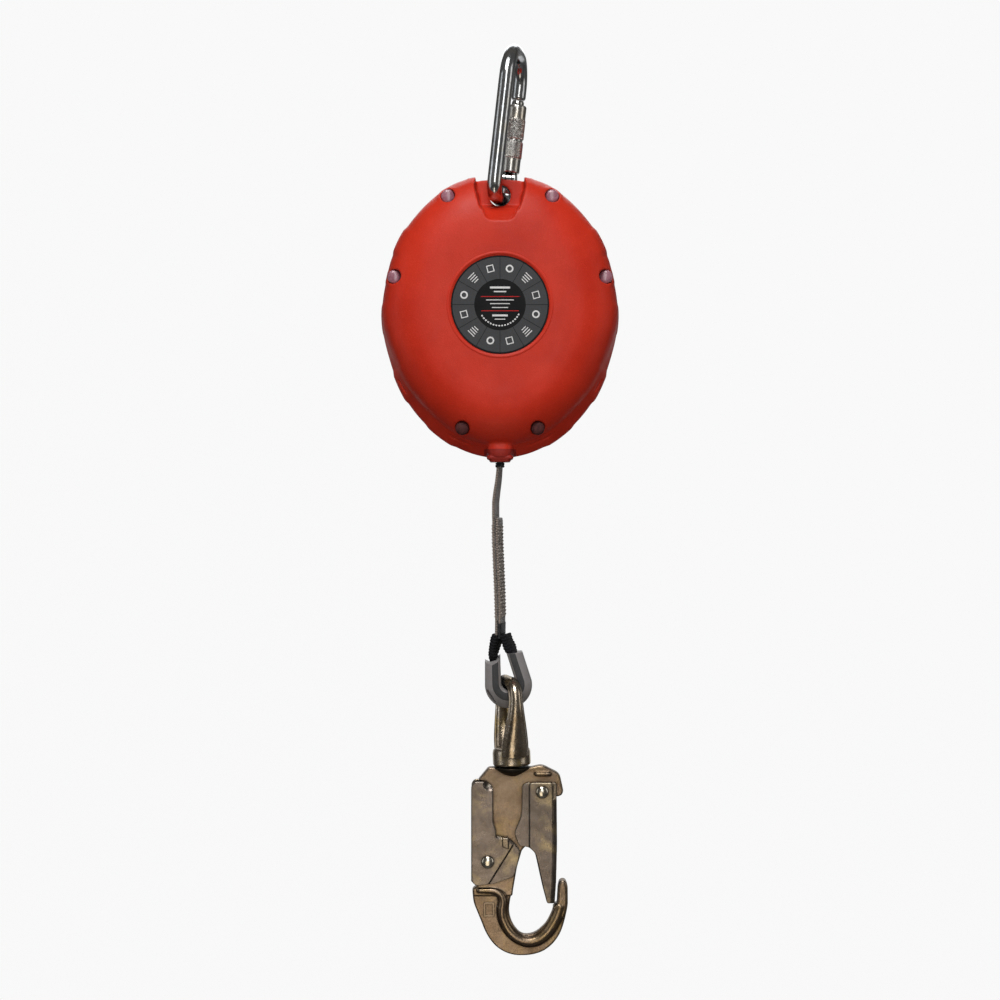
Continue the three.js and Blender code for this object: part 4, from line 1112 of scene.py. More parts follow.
def sleeve_radius(z):
    radius = np.full(len(sleeve_angles), 6.15)
    if z < 14.3:  # chamfered ends
        radius -= (14.3 - z) * 0.5
    if z > 58.2:
        radius -= (z - 58.2) * 0.5
    if 35.0 <= z <= 36.0:  # plain groove between the bands
        radius[:] = 5.9
    for lo, hi, ridges, slope in KNURL_BANDS:
        if lo <= z <= hi:
            fade = smoothstep(lo, lo + 0.8, z) * (1 - smoothstep(hi - 0.8, hi, z))
            first, second = ((1 - np.abs(np.sin(ridges * sleeve_angles + k * (z - lo)))) ** 2.2
                             for k in (2.1, slope))
            radius = radius + fade * (0.38 - 0.78 * np.maximum(first, second))
    return radius


def sleeve_ring(radius, z):
    return CONNECTOR(np.stack([radius * np.cos(sleeve_angles),
                               GATE_Y + radius * np.sin(sleeve_angles),
                               np.full(len(sleeve_angles), z + GATE_UP)], 1))


rings = [sleeve_ring(sleeve_radius(z), z) for z in sleeve_heights]
rings += [sleeve_ring(5.1, z) for z in (SLEEVE_HIGH, SLEEVE_LOW)]  # bore
sleeve = make("lock_sleeve_skin", *loft(rings, wrap=True), KNURL, 32)
place(sleeve, "lock_barrel", "polished_steel", "anchor_lock_sleeve")

verts, faces = hinge_disc(4.85, 1.2, 1.6, 4.6, 28)
hinge_rivet = make("anchor_rivet_skin", CONNECTOR(verts), faces, PIN_STEEL, 40)
place(hinge_rivet, "anchor", "polished_steel", "anchor_gate_rivet")


# --------------------------------------------------------------------------- webbing
def strap_ring(x, z, tangent, through, width, yaw):
    """section of a strap that runs in X-Z, turned by yaw degrees about Z"""
    c, s = math.cos(rad(yaw)), math.sin(rad(yaw))
    shift = tangent[1] * through
    return np.stack([x + shift * c - width * s, shift * s + width * c,
                     z - tangent[0] * through], 1)


def line_yaw(z):
    return float(-7.5 - 2.5 * smoothstep(-99, -126, z))


# sideways drift of the strap: depth below the drum axis, x
LINE_DEPTHS = [84, 99, 106, 114, 120, 127, 138]
LINE_X = [0, 0, -0.35, -1.2, -1.95, -2.65, -2.9]
line_path = np.array([(float(np.interp(-z, LINE_DEPTHS, LINE_X)) + 0.12 * math.sin(z * 0.21), z)
                      for z in np.arange(-84.3, -137.9, -0.45)])
line_section = superellipse(1.0, 10.0, 5, 44)
rings = [strap_ring(x, z, tangent, *line_section.T, line_yaw(z))
         for (x, z), tangent in zip(line_path, unit(np.gradient(line_path, axis=0)))]
line = make("webbing_strap", *loft(rings), WEB, 60)
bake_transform(line)
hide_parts("webbing_line")


def cord_turn(k, z):
    """one turn of cord around the strap"""
    around = full_turn(80)
    section = superellipse(1.65, 10.5, 4, 80)
    c, s = math.cos(rad(line_yaw(z))), math.sin(rad(line_yaw(z)))
    path = np.stack([section[:, 0] * c - section[:, 1] * s, section[:, 0] * s + section[:, 1] * c,
                     z + 0.35 * np.sin(around + k)], 1)
    up = np.array([0, 0, 1.0])
    out = unit(np.cross(unit(np.roll(path, -1, 0) - np.roll(path, 1, 0)), up))
    cord = circle(0.5, 12)
    return loft([p + cord[:, :1] * o + cord[:, 1:] * up for p, o in zip(path, out)], wrap=True)


cord = make("keeper_cord", *merge([cord_turn(k, z) for k, z in enumerate((-101.9, -102.9, -103.9))]),
            KNIT, 180)
place(cord, "case", "knit_sleeve")

# sewn double section, turned as a whole about Z
SEWN_TURN = rot_z(-10.0)
BOW_DEPTHS = [136, 150, 165, 182, 200, 217]
BOW_X = [-1.9, -1.5, -0.9, -0.45, -0.05, 0.0]


def turned(points):
    return np.asarray(points, float) @ SEWN_TURN.T


def bow(z):
    """sideways drift of the sewn section"""
    return float(np.interp(-z, BOW_DEPTHS, BOW_X)) + 0.22 * math.sin((z + 140) * 0.085)


def sewn_ring(x, z, half_thick, half_width):
    section = superellipse(half_thick, half_width, 4.5, 44)
    return turned([(x + a, b, z) for a, b in section])


def sewn_layer(x_of, top, half_thick, scallop=0.0, taper=0.0):
    """one strap layer; scallop waves its edges, taper thins its upper end"""
    rings = []
    for z in np.arange(top, -216.8 - 1e-6, -0.45):
        thick = half_thick
        if z > top - taper:
            thin = math.sqrt(max(0.0, 1 - ((z - (top - taper)) / taper) ** 2))
            thick = half_thick * (0.35 + 0.65 * thin)
        rings.append(sewn_ring(x_of(z), z, thick, 9.9 + scallop * math.sin(z * 3.9)))
    return loft(rings)


sewn_end = make("webbing_sewn_end", *merge([
    sewn_layer(lambda z: -1.0 + bow(z), -135.6, 1.04),
    sewn_layer(lambda z: 1.12 + bow(z) + 0.25 * math.exp(-(z + 141) ** 2 / 6), -137.6, 1.0,
               scallop=0.12, taper=1.2)]), WEB, 60)
place(sewn_end, "line_end", "webbing")


def tube(points, radius):
    p = np.asarray(points, float)
    tangent = unit(np.gradient(p, axis=0))
    u = unit(np.cross(tangent, np.array([1.0, 0, 0])))
    w = np.cross(tangent, u)
    ring = circle(radius, 6)
    return loft([p[i] + ring[:, :1] * u[i] + ring[:, 1:] * w[i] for i in range(len(p))])


def face_thread(face_x, side, column):
    """zigzag thread down one face of the sewn section"""
    points = []
    z, swing = -142.5, -1.25
    while z > -203:
        x = face_x + bow(z)
        points.append((x + side * 0.12, column + swing, z))
        points.append((x - side * 0.25, column + swing, z - 0.65))
        z -= 1.15
        swing = -swing
    return tube(turned(points), 0.30)


def edge_thread(y):
    """thread that zigzags down one edge"""
    points = []
    z, k = -142.0, 0
    while z > -206:
        points.append((0.05 + bow(z) + (-0.25 if k % 2 else 0.35), y, z))
        z -= 0.9
        k += 1
    return tube(turned(points), 0.22)


face_threads = [face_thread(face_x, side, column) for face_x, side in ((2.12, 1), (-2.02, -1))
                for column in (-8.0, -5.3, -2.7, 0.0, 2.7, 5.3, 8.0)]
threads = make("bar_tack_threads", *merge(face_threads), THREAD, 180)
place(threads, "line_end", "webbing", "webbing_end")
edge_threads = make("edge_threads", *merge([edge_thread(-10.10), edge_thread(10.10)]),
                    THREAD_GREY, 180)
place(edge_threads, "line_end", "webbing")

# dark cuff where the stitched end tucks into the sleeve
rings = [sewn_ring(1.15 + bow(z), z, 1.28 + 0.05 * math.sin(z * 2.2), 10.15)
         for z in np.arange(-206.8, -217.2, -0.5)]
cuff = make("stitch_cuff", *loft(rings), CUFF, 60)
place(cuff, "line_end", "knit_sleeve")

# middle of the thimble's round end, and the radius at which the loop lies in it
LOOP_X, LOOP_Z, LOOP_RADIUS = 5.6, -247.3, 10.4
LOOP_ARC = (LOOP_X, LOOP_Z, LOOP_RADIUS, 180, 366)


def knit_sleeve():
    """flattened tube round the thimble, with raised stitches"""
    path = [(-1.5, -214.4), (-2.4, -219.0), (-3.9, -225.0), (-4.8, -229.5), (-4.8, -233)]
    path += arc(*LOOP_ARC, 40)[1:]
    path += [(12.9, -236.0), (9.3, -228.6), (6.9, -224.0), (4.8, -219.0), (3.4, -214.4)]
    path = resample(path, 0.34)
    through, width = superellipse(1.0, 1.0, 3.2, 150).T
    girth = np.r_[0, np.cumsum(np.hypot(np.diff(through * 2.1), np.diff(width * 11.0)))]
    column = (girth / 2.6) % 1.0  # place within a stitch column 2.6 mm wide
    # how far a stitch stands out on the faces and on the edges
    face_relief = np.sign(through) * np.minimum(1, np.abs(through) * 1.6)
    edge_relief = np.sign(width) * np.clip(np.abs(width) * 3 - 2, 0, 1)
    along = run_length(path)
    tangents = unit(np.gradient(path, axis=0))
    rings = []
    for (x, z), u, tangent in zip(path, along, tangents):
        from_end = min(u, along[-1] - u)
        # turned with the strap at the top, straight and slimmer at the thimble
        yaw = -12.0 * (1 - float(smoothstep(8, 18, from_end)))
        inside = float(smoothstep(13, 18, from_end))
        swell = 1 + 0.10 * math.sin(u * 0.5)
        half_thick = (2.65 - 0.75 * inside) * (0.80 + 0.20 * float(smoothstep(0, 3, from_end)))
        half_width = 11.0 - 2.1 * inside
        stitch = (np.sin(2 * math.pi * u / 2.0 + np.abs(2 * column - 1) * 2.6) * 0.7
                  + 0.9 * np.sin(math.pi * column) - 0.5)
        raised = (0.30 - 0.12 * inside) * stitch
        rings.append(strap_ring(x, z, tangent, through * half_thick * swell + raised * face_relief,
                                width * half_width + raised * edge_relief, yaw))
    ob = make("knit_sleeve_skin", *loft(rings), KNIT, 180)
    place(ob, "line_end", "knit_sleeve", "wear_sleeve")


knit_sleeve()

# -------------------------------------------------------------------------- thimble
THIMBLE_RADIUS = 15.5
THIMBLE_ARC_STEPS = 44
# section: (share of the way from the outer to the inner line, y)
THIMBLE_SECTION = mirrored([(0.0, -6.2), (0.02, -7.2), (0.10, -8.6), (0.46, -12.5), (0.50, -12.75),
                            (0.80, -12.85), (0.86, -12.6), (0.97, -11.2), (1.0, -10.2)])


def thimble_body():
    left = resample([(-9.9, -231.6), (-9.9, LOOP_Z)], 0.8)
    right = resample([(20.95, -245.1), (14.7, -225.8)], 0.8)
    outer = np.array(left.tolist()
                     + arc(LOOP_X, LOOP_Z, THIMBLE_RADIUS, 180, 368, THIMBLE_ARC_STEPS)[1:]
                     + right.tolist()[1:])
    inner = np.array(np.linspace((0.2, -232.3), (0.75, -245.7), len(left)).tolist()
                     + arc(LOOP_X, -245.7, 4.9, 195, 345, THIMBLE_ARC_STEPS)[1:]
                     + np.linspace((10.4, -245.7), (4.3, -226.6), len(right)).tolist()[1:])
    rings = []
    for i, (out, inn) in enumerate(zip(outer, inner)):
        near_top = max(0.0, 1 - i / 6.0)  # shapes the top of the left leg
        ring = []
        for share, y in THIMBLE_SECTION:
            x, z = out + (inn - out) * share
            if share < 0.8:
                lift = -2.2 * math.sin(math.pi * min(1, share * 1.25))
            else:
                lift = 4.2 * (share - 0.8) / 0.2
            ring.append((x, y, z + near_top * lift))
        rings.append(ring)
    return solid(*loft(rings), name="thimble_skin")


def thimble_window(side):
    """slender cutter for the opening low on the outer wall"""
    rings = []
    ring = circle(1.0, 16)
    for u in np.linspace(0, 1, 20):
        t = rad(192 + 40 * u)
        width = 1.9 * math.sin(math.pi * min(max(u, 0.04), 0.96)) ** 0.5
        reach = THIMBLE_RADIUS - 1.6
        center = np.array([LOOP_X + reach * math.cos(t), side * 8.4, LOOP_Z + reach * math.sin(t)])
        normal = np.array([math.cos(t) * 0.6, side * 0.8, math.sin(t) * 0.6])
        lateral = np.cross(normal, np.array([-math.sin(t), 0, math.cos(t)]))
        rings.append(center + width * ring[:, :1] * lateral + 3.2 * ring[:, 1:] * normal)
    return solid(*loft(rings))


thimble = thimble_body()
# channel for the loop, open at both leg tops
channel = resample([(-3.6, -218.0), (-4.8, -233)] + arc(*LOOP_ARC, THIMBLE_ARC_STEPS)[1:]
                   + [(12.9, -236.0), (9.4, -227.5), (6.0, -219.0)], 0.9)
cut(thimble, [solid(*sweep(in_xz(channel), (0, 1, 0), superellipse(2.35, 9.7, 6, 40)))])
for side in (-1, 1):
    cut(thimble, [thimble_window(side)])
set_mats(thimble, [POLY, POLY_PAINTED_SHADE])
# painted shade: the flat front and back faces take the dark grey in place of a shaded groove
paint(thimble, lambda centre, normal: (np.abs(centre[:, 1]) > 12.3) & (np.abs(normal[:, 1]) > 0.8))
shade(thimble, 28)
place(thimble, "line_end", "grey_polymer", "thimble")

# ------------------------------------------- swivel eye, drawn in the Y-Z plane of EYE
EYE_LEG = [(-10.8, -47.5), (-12.3, -42.0), (-14.3, -36.0), (-16.7, -29.0), (-18.9, -22.0),
           (-20.2, -15.0), (-20.4, -9.6)]
leg = [tuple(q) for q in catmull(EYE_LEG, 6)]
eye_path = resample(leg + arc(-10.8, -9.6, 9.6, 180, 90, 12)[1:] + arc(10.8, -9.6, 9.6, 90, 0, 12)
                    + [(-y, z) for y, z in leg[::-1]], 0.8)


def eye_section(i, u):
    """oval that grows towards the collar, with parting-line flash on both sides"""
    grow = float(smoothstep(-8, -46, eye_path[i][1]))
    c, s = np.cos(full_turn(72)), np.sin(full_turn(72))
    section = np.stack([(4.0 + 1.4 * grow) * np.sign(c) * np.abs(c) ** 0.95,
                        (4.0 + 4.3 * grow) * np.sign(s) * np.abs(s) ** 0.95], 1)
    section[:, 1] += np.sign(s) * np.exp(-((np.abs(s) - 1) / 0.022) ** 2) * 0.75
    return section


COLLAR = [(0, -42.6), (7.5, -42.6), (10.6, -43.2), (12.0, -44.4), (12.5, -46.2), (12.5, -53.6),
          (12.0, -54.6), (11.2, -55.0), (0, -55.0)]
eye_points = [(0.0, y, z) for y, z in eye_path]
eye = fuse("swivel_eye_skin", [
    solid(*sweep(eye_points, (1, 0, 0), eye_section), frame=EYE),
    solid(*lathe(COLLAR, 64), frame=EYE)], 0.34, 4, GOLD)
cut(eye, [solid(*lathe([(0, -60), (5.5, -60), (5.5, -40), (0, -40)], 48), frame=EYE)])
shade(eye, 50)
place(eye, "eye", "zinc_steel", "swivel_eye")

PIN_AXIS = (7.9, 0, 0)
PIN = [(0, -307), (4.5, -307), (4.5, -288.6), (6.3, -288.3), (6.6, -287.6), (6.5, -286.2),
       (6.0, -284.4), (5.2, -283.0), (4.0, -282.3), (0, -282.2)]
pin = make("swivel_pin_skin", *lathe(PIN, 56, PIN_AXIS), GOLD, 45, weld=0.001)
place(pin, "hook", "zinc_steel", "swivel_pin")

# ------------------------------------------------------------------------- hook body
GATE_PIVOT = (27.7, -317.9)
LOCK_PIVOT = (-8.05, -363.5)
# outlines softened from (x, z, corner radius)
BODY = [(-7.6, -302.0, 1.5), (20.5, -301.9, 1.2), (27.6, -300.4, 2.5), (39.3, -306.2, 3),
        (41.8, -317.6, 2), (40.6, -320.4, 1.2), (38.0, -321.2, 0.6), (34.6, -321.2, 0.6),
        (34.6, -322, 3), (29.7, -328, 3), (22.4, -328, 2), (18.5, -333.9, 3), (18.5, -352.4, 2),
        (14.5, -356.3, 1.5), (11.2, -367.6, 2), (8.6, -382.7, 1), (8.2, -386.6, 1),
        (-17.6, -386.6, 1), (-18.2, -382.1, 1), (-14.5, -379.4, 1), (-14.5, -368.9, 1.5),
        (-12.4, -357, 1.5), (-8.4, -317.4, 2), (-8.4, -312.4, 1.2), (-14.6, -310.4, 1.2)]
NOSE = [(35.4, -399, 2), (34.7, -393.4, 1), (37.4, -392.0, 1.2), (38.1, -380.0, 1.5),
        (39.1, -376.8, 1.5), (41.2, -375.8, 1.5), (43.3, -376.6, 1.5), (44.6, -380.0, 1.5),
        (44.7, -392, 2), (43.6, -397.9, 2), (42.4, -401.6, 2)]
# curves through (x, z)
BOWL_OUTER = [(-18.2, -382.1), (-18.0, -386), (-17.2, -391.3), (-15.2, -396.6), (-12.6, -402.9),
              (-9.8, -409.8), (-6.4, -415.6), (-2.0, -420.4), (3.4, -423.8), (9.4, -425.6),
              (15.6, -425.9), (22.0, -425.2), (28.4, -423), (33.7, -419.2), (37.6, -414.6),
              (40.4, -409.4), (42.4, -403.2), (43.7, -397.6), (44.6, -391)]
BOWL_INNER = [(40, -388), (35.5, -395.5), (33.0, -400.5), (29.8, -405.2), (24.6, -410.0),
              (19.5, -412.1), (14.0, -411.6), (9.6, -407.2), (6.9, -401.6), (6.0, -395.5),
              (6.8, -388.6), (8.2, -382.6)]
RIB = [(-16.3, -382.9), (-9.4, -382.9), (-3.6, -383.3), (0.4, -385.6), (1.9, -389.8),
       (1.3, -395.2), (1.8, -400.8), (4.2, -406.6), (8.2, -411.8), (13.4, -415.3), (19.4, -416.6),
       (25.6, -414.9), (30.8, -410.8), (34.8, -405.2), (37.9, -398.9), (39.9, -392.6)]


def rib_section(i, u):
    """rib around the bowl: rounded start, wider towards the nose"""
    width = 2.5 + 1.3 * float(smoothstep(0.06, 0.30, u)) + 0.5 * float(smoothstep(0.5, 0.75, u))
    depth = 5.4 + 1.1 * float(smoothstep(0.0, 0.25, u))
    end = math.sqrt(max(0.02, 1 - ((0.03 - u) / 0.03) ** 2)) if u < 0.03 else 1.0
    return superellipse(width * end, depth * end, 2.1, 40)


def stop_bead(side):
    """short bead above the gate on one face"""
    path = np.stack([np.linspace(22.6, 33.6, 12), np.full(12, side * 4.5), np.full(12, -306.2)], 1)

    def section(i, u):
        end = math.sqrt(max(0.03, 1 - (2 * u - 1) ** 6))
        return superellipse(1.35 * end, 1.3 * end, 2.2, 20)

    return solid(*sweep(path, (0, 1, 0), section))


bowl = np.concatenate([catmull(BOWL_OUTER, 5), catmull(BOWL_INNER, 5)])
NECK_CORE = [(0, -301.9), (4.95, -301.9), (4.95, -306.8), (4.2, -307.4), (2.2, -307.9), (0, -308.0)]
hook = fuse("hook_forging", [
    solid(*plate(soften(BODY, n=4), -4.0, 4.0, 0.9)),
    solid(*plate(dedupe(bowl, 0.05), -3.3, 3.3, 1.0)),
    solid(*sweep(in_xz(resample(catmull(RIB, 8), 0.7)), (0, 1, 0), rib_section)),
    solid(*plate(soften(NOSE, n=4), -5.6, 5.6, 1.8)),
    solid(*lathe(NECK_CORE, 40, PIN_AXIS)),
    stop_bead(-1), stop_bead(1)], 0.40, 3, BRONZE)
for pivot in (GATE_PIVOT, LOCK_PIVOT):
    # through hole, and a wider sink from the front
    cut(hook, [rod(*pivot, 2.8, -8, 8, 32), rod(*pivot, 5.8, -8, -0.4, 40)])
shade(hook, 50)
place(hook, "hook", "zinc_steel", "hook_body")

# square frame on the web of the bowl, one on each face
frame_outer = soften([(-10.8, -390.8), (-3.6, -390.8), (-3.6, -400.4), (-10.8, -400.4)], 0.9, 3)
frame_inner = soften([(-9.5, -392.1), (-4.9, -392.1), (-4.9, -399.1), (-9.5, -399.1)], 0.5, 3)
pad_parts = [plate(frame_outer, side * 2.9, side * 3.72, 0.16, holes=[frame_inner])
             for side in (-1, 1)]
pads = make("hook_pad_frames", *merge(pad_parts), PAD, 40)
place(pads, "hook", "zinc_steel")

# pointed boss under the collar, coloured near black as painted shade
NECK_BOSS = [(5.2, -301.7), (11.6, -301.7), (12.1, -302.1), (12.0, -302.7), (9.6, -304.6),
             (6.0, -306.9), (3.0, -308.3), (0.9, -308.9), (0, -309.0)]
neck = make("hook_neck_boss", *lathe(NECK_BOSS, 56, PIN_AXIS), NECK_PAINTED_SHADE, 45, weld=0.001)
place(neck, "hook", "zinc_steel")

# --------------------------------- gate: folded sheet with a raised panel on each face
GATE_LOW = [(14.6, -313.6, 1.5), (17.8, -311.8, 1.2), (37.2, -311.8, 1.5), (37.6, -351.7, 3),
            (37.0, -376.8, 3), (36.0, -391.3, 1.6), (30.9, -391.3, 1.6), (27.7, -379.4, 3),
            (25.1, -367.6, 3), (22.8, -357.4, 3), (18.9, -354.4, 1.5), (12.5, -353.3, 1.5),
            (9.4, -345.1, 2.5), (14.3, -333.2, 4)]
GATE_TOP = [(19.4, -313.0, 1.0), (20.6, -311.8, 1.0), (34.6, -311.8, 1.5), (35.0, -351.7, 3),
            (34.5, -376.8, 3), (33.6, -391.2, 1.6), (31.0, -391.2, 1.6), (28.1, -379.4, 3),
            (25.6, -367.6, 3), (23.4, -358.2, 4), (19.4, -354.6, 1.2)]
GATE_GROOVE = [(17.2, -315.0), (19.3, -315.0), (19.3, -351.4), (17.2, -350.6)]
# fold sections: (x from the outer edge, y), outside then inside
GATE_FOLD = mirrored([(-3.1, -5.85), (-2.0, -5.75), (-1.1, -5.3), (-0.45, -4.6), (-0.1, -3.6),
                      (0, -2.6)]) + mirrored([(-1.9, 4.4), (-1.6, 2.0)])
LEVER_FOLD = mirrored([(1.5, -7.6), (0.8, -7.35), (0.3, -6.8), (0.05, -6.0),
                       (0, -4.8)]) + mirrored([(1.5, 6.2)])


def fold(section, top, bottom, edge_x):
    return solid(*loft([[(edge_x(z) + dx, y, z) for dx, y in section]
                        for z in np.linspace(top, bottom, 40)]))


def gate_edge(z):
    return float(np.interp(-z, [311.8, 351.7, 376.8, 391.3], [37.3, 37.6, 37.0, 36.0]))


gate_parts = []
for side in (-1, 1):
    gate_parts.append(solid(*plate(soften(GATE_LOW), side * 4.35, side * 5.1, 0.3, res=2)))
    gate_parts.append(solid(*plate(soften(GATE_TOP), side * 4.5, side * 5.9, 0.55)))
gate_parts.append(fold(GATE_FOLD, -323.0, -390.6, gate_edge))
snap_gate = fuse("snap_gate_skin", gate_parts, 0.28, 3, BRONZE_PLATE)
cut(snap_gate, [rod(*GATE_PIVOT, 2.6, -8, 8, 32)])
for side in (-1, 1):  # groove beside the raised panel
    cut(snap_gate, [solid(*plate(soften(GATE_GROOVE, 0.8, 3), side * 4.72, side * 7.0, 0.08))])
shade(snap_gate, 50)
place(snap_gate, "snap_gate", "zinc_steel", "hook_gate")

# ------------------------- lock lever: cover plates, a fold on the left edge, cam arms
LEVER = [(-18.9, -313.4, 2.2), (-16.6, -310.9, 1.5), (-8.6, -310.9, 3.2), (-5.0, -313.6, 2.5),
         (-4.5, -318, 2), (-4.3, -338, 2), (-2.6, -343, 1.5), (-2.4, -347.6, 1.0),
         (6.2, -349.3, 1.2), (8.8, -352.2, 1.2), (-7.6, -378.6, 1.5), (-15.6, -379.4, 1.5),
         (-18.8, -376.6, 2), (-19.0, -330, 3)]
CAM_ARM = [(-2.2, -346.5, 1), (6.4, -348.8, 1), (9.6, -351.6, 1.5), (13.2, -356.6, 1.5),
           (11.6, -365.0, 2), (9.4, -373.4, 2.5), (-4.8, -378.2, 1.5), (-8, -378.4, 1)]
LEVER_TAB = [(1.6, -347.6), (5.6, -347.9), (5.6, -355.2), (1.6, -353.6)]
lever_parts = []
for side in (-1, 1):
    lever_parts += [
        solid(*plate(soften(LEVER), side * 6.15, side * 7.65, 0.55)),
        solid(*plate(soften(CAM_ARM), side * 6.12, side * 7.05, 0.3, res=2)),
        solid(*plate(soften(LEVER_TAB, 0.6, 3), side * 6.2, side * 7.95, 0.4, res=2))]
lever_parts.append(fold(LEVER_FOLD, -315.8, -376.6, lambda z: -19.0))
lever = fuse("lock_lever_skin", lever_parts, 0.28, 3, BRONZE_PLATE)
cut(lever, [rod(*LOCK_PIVOT, 2.6, -9, 9, 32)])
for side in (-1, 1):  # scoop at the top right corner of each cover
    scoop = [(max(5.6 * math.cos(rad(t)), 0.02), side * 9.6 + 3.4 * math.sin(rad(t)))
             for t in range(-90, 91, 15)]
    cut(lever, [solid(*lathe(scoop, 28, (-6.6, 0, -312.6), "Y"))])
shade(lever, 50)
place(lever, "snap_lock", "zinc_steel", "hook_lock_lever")

# rivets with domed heads: (radius, height above the seat)
RIVET_HEAD = [(4.2, 0.0), (4.2, 0.25), (4.0, 0.75), (3.5, 1.3), (2.7, 1.75), (1.6, 2.0), (0, 2.1)]
for node, (x, z), seat in (("gate_rivet", GATE_PIVOT, 6.1), ("lock_rivet", LOCK_PIVOT, 7.9)):
    profile = [(radius, -(seat + height)) for radius, height in RIVET_HEAD[::-1]]
    profile += [(2.4, -seat), (2.4, seat)]
    profile += [(radius, seat + height) for radius, height in RIVET_HEAD]
    rivet = make(node + "_skin", *lathe(profile, 48, (x, 0, z), "Y"), RIVET, 50, weld=0.001)
    place(rivet, "hook", "zinc_steel", node)

# ---------------------- finish on the carried-over parts, by name; the rest take MECH
CAD_FINISH = (
    (SCREW, ("case_screw", "brake_screw")),
    (ALLOY, ("frame_plate", "spring_case", "drum_hub", "drum_flange")),
    (BRASS, ("shaft_bush",)),
    (WEB, ("webbing_lead", "webbing_roll")),
    (LINING, ("friction_disc",)),
    (SPRING, ("power_spring", "pawl_spring", "gate_spring", "lock_spring")),
)
for name, ob in frame["nodes"].items():
    if not ob.hide_render:
        set_mats(ob, next((mat for mat, starts in CAD_FINISH if name.startswith(starts)), MECH))

# ---------------------------------------------------------------- studio, in metres
box_low, box_high = CAD_BOX
mid_x = ((box_low + box_high) / 2).x
TARGET_Z, CAMERA_DISTANCE, VIEW_WIDTH = -126, 1300, 660  # millimetres
target = Vector(to_world((0, 0, TARGET_Z)))


def paper_material():
    """diffuse paper that the camera sees as an almost even glow"""
    glow = 0.95
    material = bpy.data.materials.new("studio_paper")
    tree = fresh_tree(material)
    add, link = tree.nodes.new, tree.links.new
    output = add("ShaderNodeOutputMaterial")
    diffuse = add("ShaderNodeBsdfDiffuse")
    diffuse.inputs[0].default_value = (0.42, 0.42, 0.42, 1)
    noise = add("ShaderNodeTexNoise")
    noise.inputs["Scale"].default_value = 3.0
    level = add("ShaderNodeMapRange")
    level.inputs["To Min"].default_value = glow - 0.012
    level.inputs["To Max"].default_value = glow
    link(noise.outputs[0], level.inputs["Value"])
    emission = add("ShaderNodeEmission")
    emission.inputs[0].default_value = (1, 1, 1, 1)
    link(level.outputs[0], emission.inputs[1])
    light_path = add("ShaderNodeLightPath")
    mix = add("ShaderNodeMixShader")
    share = add("ShaderNodeMath")
    share.operation = "MULTIPLY"
    share.inputs[1].default_value = 1.0
    link(light_path.outputs["Is Camera Ray"], share.inputs[0])
    link(share.outputs[0], mix.inputs[0])
    link(diffuse.outputs[0], mix.inputs[1])
    link(emission.outputs[0], mix.inputs[2])
    link(mix.outputs[0], output.inputs[0])
    return material


def studio_sweep():
    """floor that curves up into a back wall"""
    floor_z = box_low.z - 2.75
    half_width, curve_y, curve_radius = 5.12, 1.3, 0.7
    profile = [(-6.0, floor_z), (curve_y, floor_z)]
    for k in range(1, 13):
        t = rad(90 * k / 12)
        profile.append((curve_y + curve_radius * math.sin(t),
                        floor_z + curve_radius - curve_radius * math.cos(t)))
    profile.append((curve_y + curve_radius, box_low.z + 3.6))
    n = len(profile)
    verts = [(x + mid_x, y, z) for x in (-half_width, half_width) for y, z in profile]
    mesh = bpy.data.meshes.new("studio_sweep")
    mesh.from_pydata(verts, [], [(i, i + 1, n + i + 1, n + i) for i in range(n - 1)])
    ob = bpy.data.objects.new("studio_sweep", mesh)
    bpy.context.scene.collection.objects.link(ob)
    set_mats(ob, paper_material())
    shade(ob, 180)


def studio_world():
    """dim warm light on the product, near-white backdrop for the camera"""
    world = bpy.data.worlds.new("studio")
    bpy.context.scene.world = world
    tree = fresh_tree(world)
    output = tree.nodes.new("ShaderNodeOutputWorld")
    mix = tree.nodes.new("ShaderNodeMixShader")
    light_path = tree.nodes.new("ShaderNodeLightPath")
    tree.links.new(light_path.outputs["Is Camera Ray"], mix.inputs[0])
    for k, colour, strength in ((1, (0.62, 0.60, 0.58, 1), 0.17), (2, (1, 1, 1, 1), 0.94)):
        background = tree.nodes.new("ShaderNodeBackground")
        background.inputs[0].default_value = colour
        background.inputs[1].default_value = strength
        tree.links.new(background.outputs[0], mix.inputs[k])
    tree.links.new(mix.outputs[0], output.inputs[0])


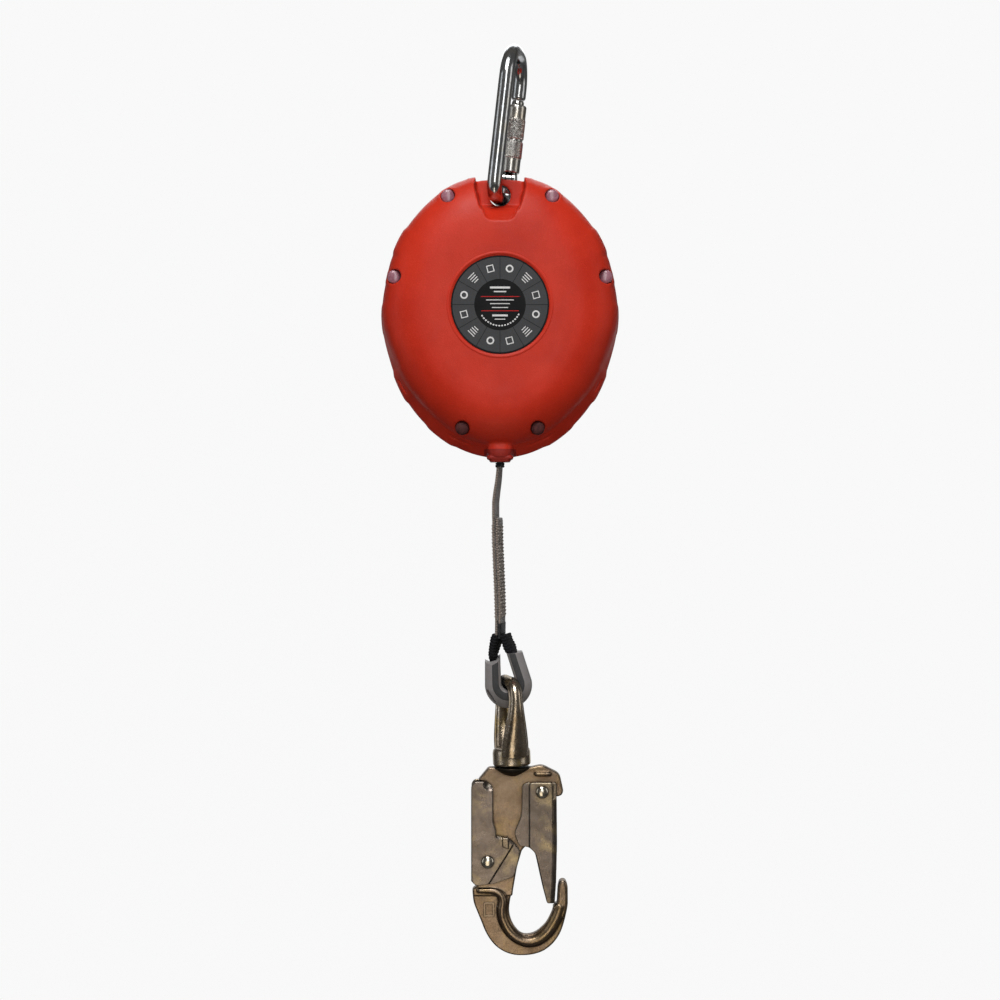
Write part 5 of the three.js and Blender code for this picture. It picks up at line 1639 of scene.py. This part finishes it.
def around(dx, dy, dz):
    return target.x + dx, target.y + dy, target.z + dz


def area(name, location, size, power, colour=(1, 1, 1), size_y=None, aim=target):
    light = bpy.data.lights.new(name, "AREA")
    light.shape = "RECTANGLE"
    light.size = size
    light.size_y = size_y or size
    light.energy = power
    light.color = colour
    ob = bpy.data.objects.new(name, light)
    bpy.context.scene.collection.objects.link(ob)
    ob.location = location
    ob.visible_camera = False
    ob.rotation_mode = "QUATERNION"
    ob.rotation_quaternion = (Vector(aim) - Vector(location)).to_track_quat("-Z", "Y")


studio_sweep()
studio_world()
area("key_top", around(-0.15, -1.15, 1.45), size=0.9, power=25, colour=(1, 0.985, 0.97),
     aim=around(0, 0, 0.1))
area("front_strip", around(0.05, -1.9, 0.45), size=0.40, size_y=1.5, power=7.5)
area("left_fill", around(-1.7, -0.5, 0.2), size=0.7, size_y=1.5, power=3.0,
     colour=(0.97, 0.98, 1.0))
area("right_fill", around(1.7, -0.5, 0.3), size=0.7, size_y=1.5, power=3.4,
     colour=(1.0, 0.97, 0.93))
area("front_low", (target.x - 0.03, target.y - 0.42, box_low.z - 0.08), size=0.16, size_y=0.30,
     power=0.30, colour=(1.0, 0.88, 0.70), aim=around(0, 0, -0.15))
area("back_rim", around(0, 1.5, 1.3), size=1.4, power=11)
area("back_low", around(0, 1.4, -0.2), size=2.2, size_y=0.8, power=3)

# camera square to the front, level with the middle of the hanging unit
camera_data = bpy.data.cameras.new("camera")
camera_data.sensor_width = 36
camera_data.lens = 36 * CAMERA_DISTANCE / VIEW_WIDTH
camera = bpy.data.objects.new("camera", camera_data)
scene = bpy.context.scene
scene.collection.objects.link(camera)
camera.location = Vector(to_world((0, -CAMERA_DISTANCE, TARGET_Z)))
camera.rotation_mode = "QUATERNION"
camera.rotation_quaternion = Vector((0, 1, 0)).to_track_quat("-Z", "Y")
camera_data.clip_start = 0.05
camera_data.clip_end = 50
scene.camera = camera
scene.view_settings.view_transform = "Standard"
scene.view_settings.look = "None"

bpy.context.view_layer.update()
